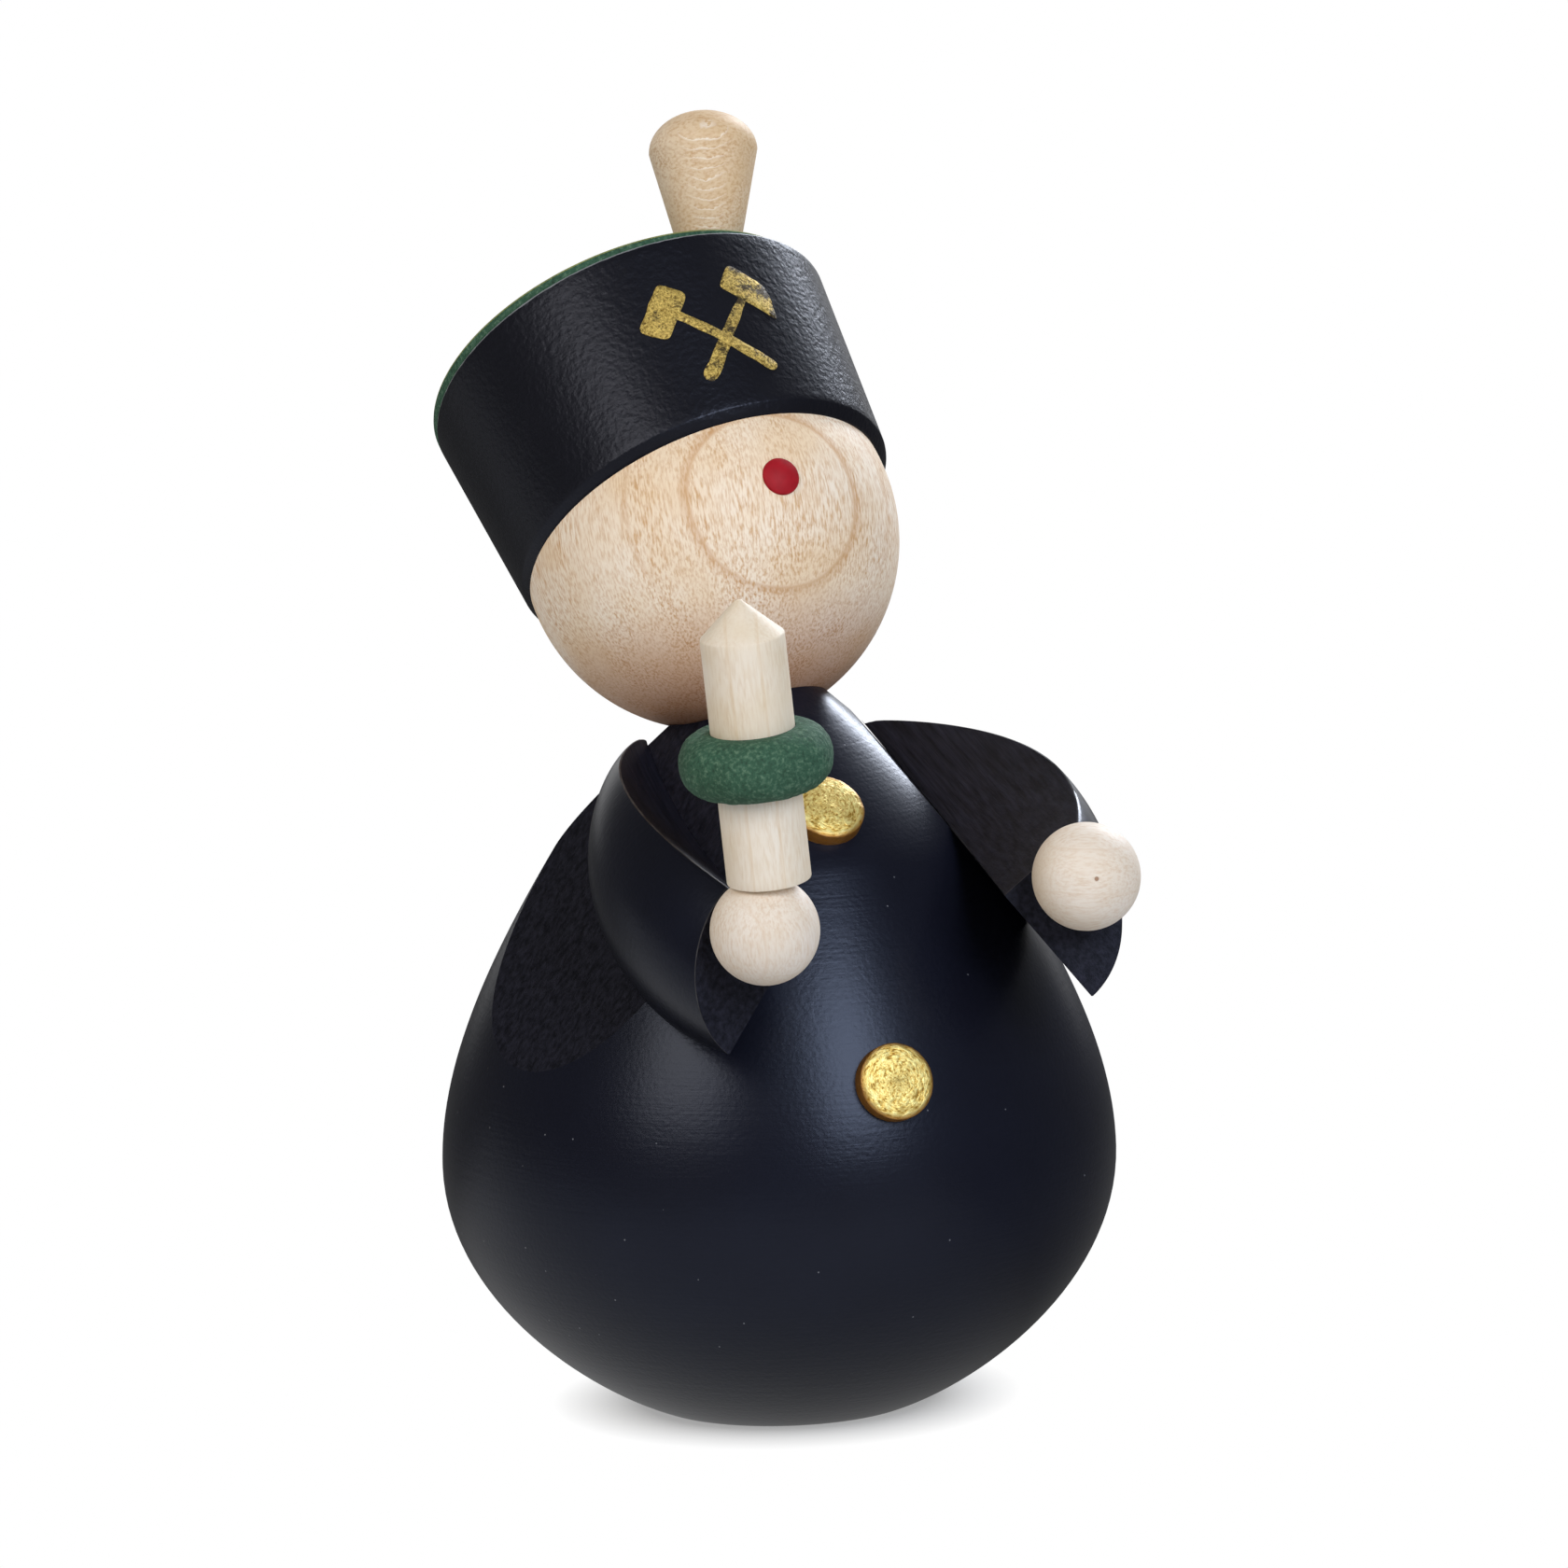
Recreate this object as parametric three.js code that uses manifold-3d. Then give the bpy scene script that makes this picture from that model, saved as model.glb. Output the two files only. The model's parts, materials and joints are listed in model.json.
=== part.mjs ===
// Candle miner: a small turned wooden figure in a dark blue-black coat and a miner's shako,
// who holds a candle with a green drip ring in the right hand.
// Millimetres and degrees. +Z is up, the figure faces -Y, its left side is +X,
// and the origin is the middle of the flat base.
import * as THREE from 'three';
import { mergeVertices } from 'three/addons/utils/BufferGeometryUtils.js';
import Module from 'manifold-3d';

// Room between pieces
const SEAT_GAP = 0.25; // between two faces that meet
const PEG_GAP = 0.2; // around a dowel, pin or tenon in its hole
const HOLE_END_GAP = 0.5; // past the end of a dowel in a blind hole

// Facets around each turned piece
const BODY_SIDES = 64;
const HAT_SIDES = 64;
const HEAD_SIDES = 40;
const SLEEVE_SIDES = 48;
const FACE_SIDES = 160;
const BALL_SIDES = 24;
const TURNED_SIDES = 28;
const PEG_SIDES = 16;
const BODY_STEPS = 10; // points along one curve of the body's outline
const CURVE_STEPS = 8; // and along one curve of a smaller turned outline
const SPINDLE_STEPS = 16; // points along the spindle that a sleeve is sawn from

// Body: a turned egg on a flat base, its outline three curves from the base to the tip
const BASE_RADIUS = 10.1;
const FOOT_RISE = 20.7; // slope of the outline where it leaves the base
const FOOT_REACH = 5.96;
const BELLY_RADIUS = 25.15;
const BELLY_HEIGHT = 18.5;
const BELLY_REACH_DOWN = 9.48;
const BELLY_REACH_UP = 7.5;
const WAIST_RADIUS = 16.04;
const WAIST_HEIGHT = 42;
const WAIST_SLOPE = 57.9;
const WAIST_REACH_DOWN = 9.56;
const WAIST_REACH_UP = 4.36;
const TIP_RISE = 15.5; // from the waist up to where the outline would close, inside the head's seat
const TIP_HEIGHT = WAIST_HEIGHT + TIP_RISE;
const TIP_SLOPE = 46;
const TIP_REACH = 4.94;

// Flats milled on the two flanks, where the arms sit
const FLANK_TURN = 16.7; // from straight out at the side towards the front
const FLANK_RISE = 38.6; // how far the flat looks up
const RIGHT_MILL_DEPTH = 3.044; // below the body's waist, square to the flat
const LEFT_MILL_DEPTH = 1.55;

// Neck: the head ball sits in a round dish and turns on a dowel
const NECK_BACK = 17.4; // lean of the neck to the back
const NECK_SIDE = 4.4; // lean of the neck to the figure's right
const NECK_X = -0.63; // middle of the dish's rim
const NECK_Y = 2.25;
const NECK_DROP = 5.5; // from the tip of the outline down to the dish's rim
const NECK_Z = TIP_HEIGHT - NECK_DROP;
const DISH_RADIUS = 6.2;
const NECK_DOWEL_RADIUS = 2.5;
const NECK_DOWEL_IN_HEAD = 7;
const NECK_DOWEL_IN_BODY = 9;

// Head ball, with a flat on top for the hat
const HEAD_RADIUS = 14.05;
const HEAD_BACK = 41.9; // tilt of the hat's axis to the back
const HEAD_SIDE = 8.7; // tilt of the hat's axis to the figure's right
const HEAD_TURN = 7.05; // turn of the face to the figure's left
const NOSE_DROP = 17; // below the hat's plane, seen from the middle of the head
const NOSE_RADIUS = 1.42;
const NOSE_PROUD = 0.5;
const NOSE_DEPTH = 3;
const NOSE_BULGE = 0.3;

// Shako with a thin green disc on top
const HAT_LIFT = 1.1; // hat's lower face above the middle of the head
const HAT_SHIFT = 0.3; // hat's axis off the middle of the head, to the figure's left
const HAT_HEIGHT = 15.75;
const HAT_LOWER_RADIUS = 14.65;
const HAT_UPPER_RADIUS = 15.7;
const HAT_LOWER_BEVEL = 0.7;
const HAT_LOWER_BEVEL_RISE = 0.75;
const HAT_UPPER_BEVEL = 0.2;
const HAT_SPIGOT_RADIUS = 5;
const HAT_SPIGOT_LENGTH = 4.5;
const DISC_INSET = 0.35; // disc's edge inside the hat's upper edge
const DISC_THICKNESS = 0.75;
const DISC_BEVEL = 0.2;
const DISC_BACK = 0.4; // glued on by eye, a little off the hat's middle
const DISC_RIGHT = 0.2;

// Plume peg at the front of the hat
const PLUME_SEAT_RADIUS = 10.4; // from the hat's axis
const PLUME_AROUND = 24.8; // from the front towards the figure's left
const PLUME_LEAN = 26; // outwards, off the hat's axis
const PLUME_FOOT_RADIUS = 1.95;
const PLUME_RADIUS = 4.08;
const PLUME_FLARE_LENGTH = 9.1; // foot to the widest place
const PLUME_CAP_LENGTH = 3.05; // domed end above the widest place
const PLUME_TENON_RADIUS = 1.3;
const PLUME_TENON_LENGTH = 5;

// Arms: each is sawn from a turned spindle, with a flat back, a hollow front and a slanted cuff
const SLEEVE_RADIUS = 8.97;
const SLEEVE_HEAD = 21.6; // from where the outline would close at the shoulder to the fullest place
const SLEEVE_PARTING = 0.85; // the spindle is parted off this far before the outline closes
const SLEEVE_TAIL = 22.65; // fullest place to the end that the cuff cuts off
const FACE_RADIUS = 77; // hollow of the front face, sawn on a gentle curve
const FACE_ABOVE = 0.19; // deepest place of the hollow, above the spindle's axis
const FACE_ALONG = 9.65; // and along it
const FACE_TILT = -1.6; // front face, off square to the flank
const CUFF_AT = 31.6; // along the spindle's axis
const CUFF_SLANT = 28.6; // lower end of the cuff reaches forward
const CUFF_RAKE = -7; // outer end of the cuff reaches forward, or back where below zero
const SHOULDER_ALONG = 13.37; // dowel's place along the spindle's axis
const RIGHT_SHOULDER_BELOW = 3.51; // and below it
const LEFT_SHOULDER_BELOW = 2.81;
const SHOULDER_DOWEL_RADIUS = 2;
const SHOULDER_DOWEL_IN_ARM = 3;
const SHOULDER_DOWEL_IN_BODY = 6;
const SHOULDER_RISE = 2.212; // dowel above the body's waist, up the flat
const RIGHT_ARM_FORWARD = 1.96; // and in front of it
const RIGHT_ARM_DROOP = 31;
const LEFT_ARM_FORWARD = 2.57;
const LEFT_ARM_DROOP = 26;

// Hands: balls pinned to the cuffs
const HAND_RADIUS = 3.9;
const HAND_FLAT = 0.6; // depth of the flat against the cuff
const RIGHT_HAND_OUT = 4.45; // from the cuff's inner corner, along its upper edge
const RIGHT_HAND_DOWN = 1.94; // and along its inner edge
const LEFT_HAND_OUT = 5;
const LEFT_HAND_DOWN = 2.58;
const HAND_PIN_RADIUS = 0.65;
const HAND_PIN_BELOW = 1.1; // pin off the hand's middle, along the cuff's inner edge
const HAND_PIN_IN_HAND = 2.2;
const HAND_PIN_IN_ARM = 2.5;

// Candle on the right hand
const CANDLE_RADIUS = 3;
const CANDLE_LENGTH = 20.55;
const CANDLE_POINT = 2.7; // length of the cone
const CANDLE_FLAT = 0.35; // depth of the flat on the hand
const CANDLE_SIDE = 6.5; // lean to the figure's right
const CANDLE_FRONT = 4.6; // lean to the front
const CANDLE_SHIFT = 0.75; // foot of the candle off the hand's middle, to the figure's left
const CANDLE_PIN_RADIUS = 0.9;
const CANDLE_PIN_IN_HAND = 1.6;
const CANDLE_PIN_IN_CANDLE = 4;

// Drip ring on the candle
const RING_RADIUS = 5.45;
const RING_THICKNESS = 4.5;
const RING_HEIGHT = 8.65; // middle of the ring above the candle's foot
const RING_EDGE = 2.05; // round of the ring's outer edges

// Coat buttons on the front
const BUTTON_RADIUS = 2.8;
const BUTTON_THICKNESS = 1;
const BUTTON_DOME = 0.45; // rise of the face over its edge
const BUTTON_TENON_RADIUS = 0.9;
const BUTTON_TENON_LENGTH = 4;
const LOWER_BUTTON_HEIGHT = 27.7;
const LOWER_BUTTON_OFFSET = 0.3; // off the middle of the front, to the figure's right
const UPPER_BUTTON_HEIGHT = 45.9;
const UPPER_BUTTON_OFFSET = 0.6;

const COAT = { color: 0x14161d, roughness: 0.42, metalness: 0 };
const HAT_BLACK = { color: 0x131519, roughness: 0.4, metalness: 0 };
const MAPLE = { color: 0xe3cda9, roughness: 0.62, metalness: 0 };
const BEECH = { color: 0xd9b78a, roughness: 0.65, metalness: 0 };
const STAINED_GREEN = { color: 0x1f5a34, roughness: 0.7, metalness: 0 };
const NOSE_RED = { color: 0xb3121f, roughness: 0.35, metalness: 0 };
const GOLD = { color: 0xc79a2b, roughness: 0.35, metalness: 0.9 };

const wasm = await Module();
wasm.setup();

const rad = THREE.MathUtils.degToRad;
const X = new THREE.Vector3(1, 0, 0);
const Y = new THREE.Vector3(0, 1, 0);
const Z = new THREE.Vector3(0, 0, 1);
const ORIGIN = new THREE.Vector3();
const point = (radius, height) => new THREE.Vector2(radius, height);
const along = (axis, length) => axis.clone().multiplyScalar(length);

// A closed geometry as a solid: shared corners merged, slivers dropped, faces outwards
function solid(geometry, matrix = new THREE.Matrix4()) {
  const bare = geometry.clone().applyMatrix4(matrix);
  bare.deleteAttribute('normal');
  bare.deleteAttribute('uv');
  const merged = mergeVertices(bare);
  const corners = merged.attributes.position;
  const corner = (k) => new THREE.Vector3().fromBufferAttribute(corners, k);
  const faces = [];
  let volume = 0;
  for (let k = 0; k < merged.index.count; k += 3) {
    const [a, b, c] = [0, 1, 2].map((n) => merged.index.getX(k + n));
    if (a === b || b === c || c === a) continue;
    faces.push([a, b, c]);
    volume += corner(a).dot(corner(b).cross(corner(c)));
  }
  const outward = faces.flatMap(([a, b, c]) => (volume > 0 ? [a, b, c] : [a, c, b]));
  return new wasm.Manifold(
    new wasm.Mesh({
      numProp: 3,
      vertProperties: new Float32Array(corners.array),
      triVerts: new Uint32Array(outward),
    }),
  );
}

function shape(body) {
  const { vertProperties, triVerts } = body.getMesh();
  const geometry = new THREE.BufferGeometry();
  geometry.setAttribute('position', new THREE.BufferAttribute(vertProperties, 3));
  geometry.setIndex(new THREE.BufferAttribute(triVerts, 1));
  geometry.computeVertexNormals();
  return geometry;
}

// An outline of [radius, height] points turned about +Z
function turned(outline, sides) {
  return new THREE.LatheGeometry(outline, sides).rotateX(Math.PI / 2);
}

// Quarter oval that closes a turned outline, from its edge up to its middle
function dome(radius, foot, height, steps) {
  return Array.from({ length: steps }, (_, k) => {
    const turn = (Math.PI / 2) * ((k + 1) / steps);
    return point(k + 1 < steps ? radius * Math.cos(turn) : 0, foot + height * Math.sin(turn));
  });
}

function rod(radius, from, to, sides = PEG_SIDES) {
  const height = to - from;
  return new THREE.CylinderGeometry(radius, radius, height, sides)
    .rotateX(Math.PI / 2)
    .translate(0, 0, from + height / 2);
}

function ball(radius, sides) {
  return new THREE.SphereGeometry(radius, sides, sides / 2).rotateX(Math.PI / 2);
}

// Frame with its own +Z along an axis and its +X as near as can be to a hint
function frame(origin, axis, hint) {
  const z = axis.clone().normalize();
  const y = z.clone().cross(hint).normalize();
  const x = y.clone().cross(z);
  return new THREE.Matrix4().makeBasis(x, y, z).setPosition(origin);
}

// Block of wood beyond a plane, to saw it off
function beyond(planePoint, normal, reach) {
  const hint = Math.abs(normal.x) < Math.abs(normal.z) ? X : Z;
  const side = 2 * reach;
  return solid(
    new THREE.BoxGeometry(side, side, reach).translate(0, 0, reach / 2),
    frame(planePoint, normal, hint),
  );
}

const relative = (to, from) => to.clone().invert().multiply(from);
const spot = (matrix, local) => local.clone().applyMatrix4(matrix);
const heading = (matrix, local) => local.clone().transformDirection(matrix);

// Turned outline of the body, from the middle of the base to the tip
const waistRun = point(-Math.cos(rad(WAIST_SLOPE)), Math.sin(rad(WAIST_SLOPE)));
const waist = point(WAIST_RADIUS, WAIST_HEIGHT);
const belly = point(BELLY_RADIUS, BELLY_HEIGHT);
const bodyCurves = [
  new THREE.CubicBezierCurve(
    point(BASE_RADIUS, 0),
    point(
      BASE_RADIUS + FOOT_REACH * Math.cos(rad(FOOT_RISE)),
      FOOT_REACH * Math.sin(rad(FOOT_RISE)),
    ),
    point(BELLY_RADIUS, BELLY_HEIGHT - BELLY_REACH_DOWN),
    belly,
  ),
  new THREE.CubicBezierCurve(
    belly,
    point(BELLY_RADIUS, BELLY_HEIGHT + BELLY_REACH_UP),
    waist.clone().addScaledVector(waistRun, -WAIST_REACH_DOWN),
    waist,
  ),
  new THREE.CubicBezierCurve(
    waist,
    waist.clone().addScaledVector(waistRun, WAIST_REACH_UP),
    point(
      TIP_REACH * Math.cos(rad(TIP_SLOPE)),
      TIP_HEIGHT - TIP_REACH * Math.sin(rad(TIP_SLOPE)),
    ),
    point(0, TIP_HEIGHT),
  ),
];
const bodyOutline = [point(0, 0), point(BASE_RADIUS, 0)];
for (const curve of bodyCurves) bodyOutline.push(...curve.getPoints(BODY_STEPS).slice(1));

// Place and outward lean of the coat's surface at a height on the front
function coatAt(height) {
  const k = bodyOutline.findIndex((p, n) => n > 1 && p.y >= height);
  const [low, high] = [bodyOutline[k - 1], bodyOutline[k]];
  const share = (height - low.y) / (high.y - low.y);
  const run = high.clone().sub(low).normalize();
  return {
    radius: THREE.MathUtils.lerp(low.x, high.x, share),
    out: new THREE.Vector3(0, -run.y, -run.x),
  };
}

// Flank frame, on the flat below the waist: +Z out of the flat, +X forward along it;
// side is -1 right, +1 left
function flank(side, depth) {
  const [turn, rise] = [rad(FLANK_TURN), rad(FLANK_RISE)];
  const out = new THREE.Vector3(side * Math.cos(turn), -Math.sin(turn), 0);
  const normal = along(out, Math.cos(rise)).addScaledVector(Z, Math.sin(rise));
  const middle = along(out, waist.x).addScaledVector(Z, waist.y).addScaledVector(normal, -depth);
  const forward = new THREE.Vector3(-side * Math.sin(turn), -Math.cos(turn), 0);
  return frame(middle, normal, forward);
}

const rightFlank = flank(-1, RIGHT_MILL_DEPTH);
const leftFlank = flank(1, LEFT_MILL_DEPTH);

// Shoulder frame: on the flat at the dowel, +X along the sleeve towards the cuff
function shoulder(side, flat, forward, droop) {
  const dowelPlace = new THREE.Matrix4().makeTranslation(forward, -side * SHOULDER_RISE, 0);
  const turnDown = new THREE.Matrix4().makeRotationZ(side * rad(droop));
  return flat.clone().multiply(dowelPlace).multiply(turnDown);
}

// Neck frame at the middle of the dish's rim, and the head's frame at the middle of the ball
const neckAxis = new THREE.Vector3(-Math.tan(rad(NECK_SIDE)), Math.tan(rad(NECK_BACK)), 1).normalize();
const neck = frame(new THREE.Vector3(NECK_X, NECK_Y, NECK_Z), neckAxis, X);
const headHeight = Math.sqrt(HEAD_RADIUS ** 2 - DISH_RADIUS ** 2);
const headMiddle = spot(neck, along(Z, headHeight));
const headTilt = new THREE.Matrix4()
  .makeRotationY(-rad(HEAD_SIDE))
  .multiply(new THREE.Matrix4().makeRotationX(-rad(HEAD_BACK)))
  .multiply(new THREE.Matrix4().makeRotationZ(rad(HEAD_TURN)));
const head = headTilt.clone().setPosition(headMiddle);
const hat = new THREE.Matrix4().makeTranslation(HAT_SHIFT, 0, 0);

// Heights in the frames of the head and the hat
const headTop = HAT_LIFT - SEAT_GAP;
const hatTop = HAT_LIFT + HAT_HEIGHT;
const discFoot = hatTop + SEAT_GAP;
const discTop = discFoot + DISC_THICKNESS;

const rightShoulder = shoulder(-1, rightFlank, RIGHT_ARM_FORWARD, RIGHT_ARM_DROOP);
const leftShoulder = shoulder(1, leftFlank, LEFT_ARM_FORWARD, LEFT_ARM_DROOP);

// Button frame: on the coat's surface, +Z outwards
function buttonFrame(height, offset) {
  const { radius, out } = coatAt(height);
  return frame(new THREE.Vector3(-offset, -radius, height), out, X);
}
const lowerButton = buttonFrame(LOWER_BUTTON_HEIGHT, LOWER_BUTTON_OFFSET);
const upperButton = buttonFrame(UPPER_BUTTON_HEIGHT, UPPER_BUTTON_OFFSET);

const figure = new THREE.Group();

function place(parent, matrix) {
  const group = new THREE.Group();
  group.applyMatrix4(matrix);
  parent.add(group);
  return group;
}

function piece(parent, name, body, look) {
  const mesh = new THREE.Mesh(shape(body), new THREE.MeshStandardMaterial(look));
  mesh.name = name;
  parent.add(mesh);
}

// Body with its flats, the dish for the head, and the holes for dowels and button tenons
const neckHoleFoot = headHeight - HEAD_RADIUS - NECK_DOWEL_IN_BODY;
const millReach = TIP_HEIGHT + BELLY_RADIUS;
let body = solid(turned(bodyOutline, BODY_SIDES));
for (const flat of [rightFlank, leftFlank]) {
  body = body.subtract(beyond(spot(flat, ORIGIN), heading(flat, Z), millReach));
}
body = body.subtract(solid(ball(HEAD_RADIUS + SEAT_GAP, HEAD_SIDES), head));
body = body.subtract(
  solid(rod(NECK_DOWEL_RADIUS + PEG_GAP, neckHoleFoot - HOLE_END_GAP, headHeight), neck),
);
const shoulderHole = rod(
  SHOULDER_DOWEL_RADIUS + PEG_GAP,
  -SHOULDER_DOWEL_IN_BODY - HOLE_END_GAP,
  SHOULDER_DOWEL_IN_ARM,
);
for (const at of [rightShoulder, leftShoulder]) body = body.subtract(solid(shoulderHole, at));
const buttonHole = rod(
  BUTTON_TENON_RADIUS + PEG_GAP,
  -BUTTON_TENON_LENGTH - HOLE_END_GAP,
  BUTTON_THICKNESS,
);
for (const at of [lowerButton, upperButton]) body = body.subtract(solid(buttonHole, at));
piece(figure, 'body', body, COAT);

// Neck dowel, fast in the head and turning in the body
const neckDowelTop = headHeight - HEAD_RADIUS + NECK_DOWEL_IN_HEAD;
const neckGroup = place(figure, neck);
piece(neckGroup, 'neck_dowel', solid(rod(NECK_DOWEL_RADIUS, neckHoleFoot, neckDowelTop)), BEECH);

// Head ball: flat on top, socket for the hat's spigot, holes for the neck dowel and the nose
const headGroup = place(figure, head);
const neckInHead = relative(head, neck);
const noseAxis = new THREE.Vector3(0, -Math.cos(rad(NOSE_DROP)), -Math.sin(rad(NOSE_DROP)));
const nose = frame(along(noseAxis, HEAD_RADIUS), noseAxis, X);
const headBall = solid(ball(HEAD_RADIUS, HEAD_SIDES))
  .subtract(beyond(along(Z, headTop), Z, 2 * HEAD_RADIUS))
  .subtract(
    solid(
      rod(
        HAT_SPIGOT_RADIUS + PEG_GAP,
        HAT_LIFT - HAT_SPIGOT_LENGTH - HOLE_END_GAP,
        HEAD_RADIUS,
        TURNED_SIDES,
      ),
      hat,
    ),
  )
  .subtract(
    solid(rod(NECK_DOWEL_RADIUS + PEG_GAP, neckHoleFoot, neckDowelTop + HOLE_END_GAP), neckInHead),
  )
  .subtract(solid(rod(NOSE_RADIUS + PEG_GAP, -NOSE_DEPTH - HOLE_END_GAP, HEAD_RADIUS), nose));
piece(headGroup, 'head_ball', headBall, MAPLE);

const noseOutline = [
  point(0, -NOSE_DEPTH),
  point(NOSE_RADIUS, -NOSE_DEPTH),
  point(NOSE_RADIUS, NOSE_PROUD - NOSE_BULGE),
  point(NOSE_RADIUS * Math.SQRT1_2, NOSE_PROUD - NOSE_BULGE * (1 - Math.SQRT1_2)),
  point(0, NOSE_PROUD),
];
piece(place(headGroup, nose), 'nose_plug', solid(turned(noseOutline, PEG_SIDES)), NOSE_RED);

// Plume frame in the hat's frame: on top of the disc, +Z along the peg
const plumeOut = new THREE.Vector3(Math.sin(rad(PLUME_AROUND)), -Math.cos(rad(PLUME_AROUND)), 0);
const plumeAxis = along(Z, Math.cos(rad(PLUME_LEAN))).addScaledVector(plumeOut, Math.sin(rad(PLUME_LEAN)));
const plumeSeat = along(plumeOut, PLUME_SEAT_RADIUS).addScaledVector(Z, discTop);
const plume = frame(plumeSeat, plumeAxis, X);
const plumeHole = solid(
  rod(PLUME_TENON_RADIUS + PEG_GAP, -PLUME_TENON_LENGTH - HOLE_END_GAP, PLUME_FLARE_LENGTH),
  plume,
);

// Shako: a turned truncated cone with a spigot underneath
const hatGroup = place(headGroup, hat);
const hatOutline = [
  point(0, HAT_LIFT - HAT_SPIGOT_LENGTH),
  point(HAT_SPIGOT_RADIUS, HAT_LIFT - HAT_SPIGOT_LENGTH),
  point(HAT_SPIGOT_RADIUS, HAT_LIFT),
  point(HAT_LOWER_RADIUS - HAT_LOWER_BEVEL, HAT_LIFT),
  point(HAT_LOWER_RADIUS, HAT_LIFT + HAT_LOWER_BEVEL_RISE),
  point(HAT_UPPER_RADIUS, hatTop - HAT_UPPER_BEVEL),
  point(HAT_UPPER_RADIUS - HAT_UPPER_BEVEL, hatTop),
  point(0, hatTop),
];
const hatCrown = solid(turned(hatOutline, HAT_SIDES)).subtract(plumeHole);
piece(hatGroup, 'hat_crown', hatCrown, HAT_BLACK);

const discRadius = HAT_UPPER_RADIUS - DISC_INSET;
const discOutline = [
  point(0, discFoot),
  point(discRadius, discFoot),
  point(discRadius, discTop - DISC_BEVEL),
  point(discRadius - DISC_BEVEL, discTop),
  point(0, discTop),
];
const discGlued = new THREE.Matrix4().makeTranslation(-DISC_RIGHT, DISC_BACK, 0);
const hatDisc = solid(turned(discOutline, HAT_SIDES), discGlued).subtract(plumeHole);
piece(hatGroup, 'hat_top_disc', hatDisc, STAINED_GREEN);

// Plume: a flared peg with a domed end, its foot sawn to the slope of the disc
const plumeStart = -PLUME_FOOT_RADIUS;
const plumeFlare = (PLUME_RADIUS - PLUME_FOOT_RADIUS) / PLUME_FLARE_LENGTH;
const plumeOutline = [
  point(0, plumeStart),
  point(PLUME_FOOT_RADIUS + plumeFlare * plumeStart, plumeStart),
  point(PLUME_RADIUS, PLUME_FLARE_LENGTH),
  ...dome(PLUME_RADIUS, PLUME_FLARE_LENGTH, PLUME_CAP_LENGTH, CURVE_STEPS),
];
const plumeFlat = relative(plume, new THREE.Matrix4().setPosition(along(Z, discTop + SEAT_GAP)));
const plumeFoot = spot(plumeFlat, ORIGIN);
const plumePeg = solid(turned(plumeOutline, TURNED_SIDES))
  .subtract(beyond(plumeFoot, heading(plumeFlat, Z).negate(), PLUME_SEAT_RADIUS + HAT_UPPER_RADIUS))
  .add(solid(rod(PLUME_TENON_RADIUS, -PLUME_TENON_LENGTH, PLUME_FLARE_LENGTH / 2)));
piece(place(hatGroup, plume), 'plume', plumePeg, MAPLE);

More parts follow.
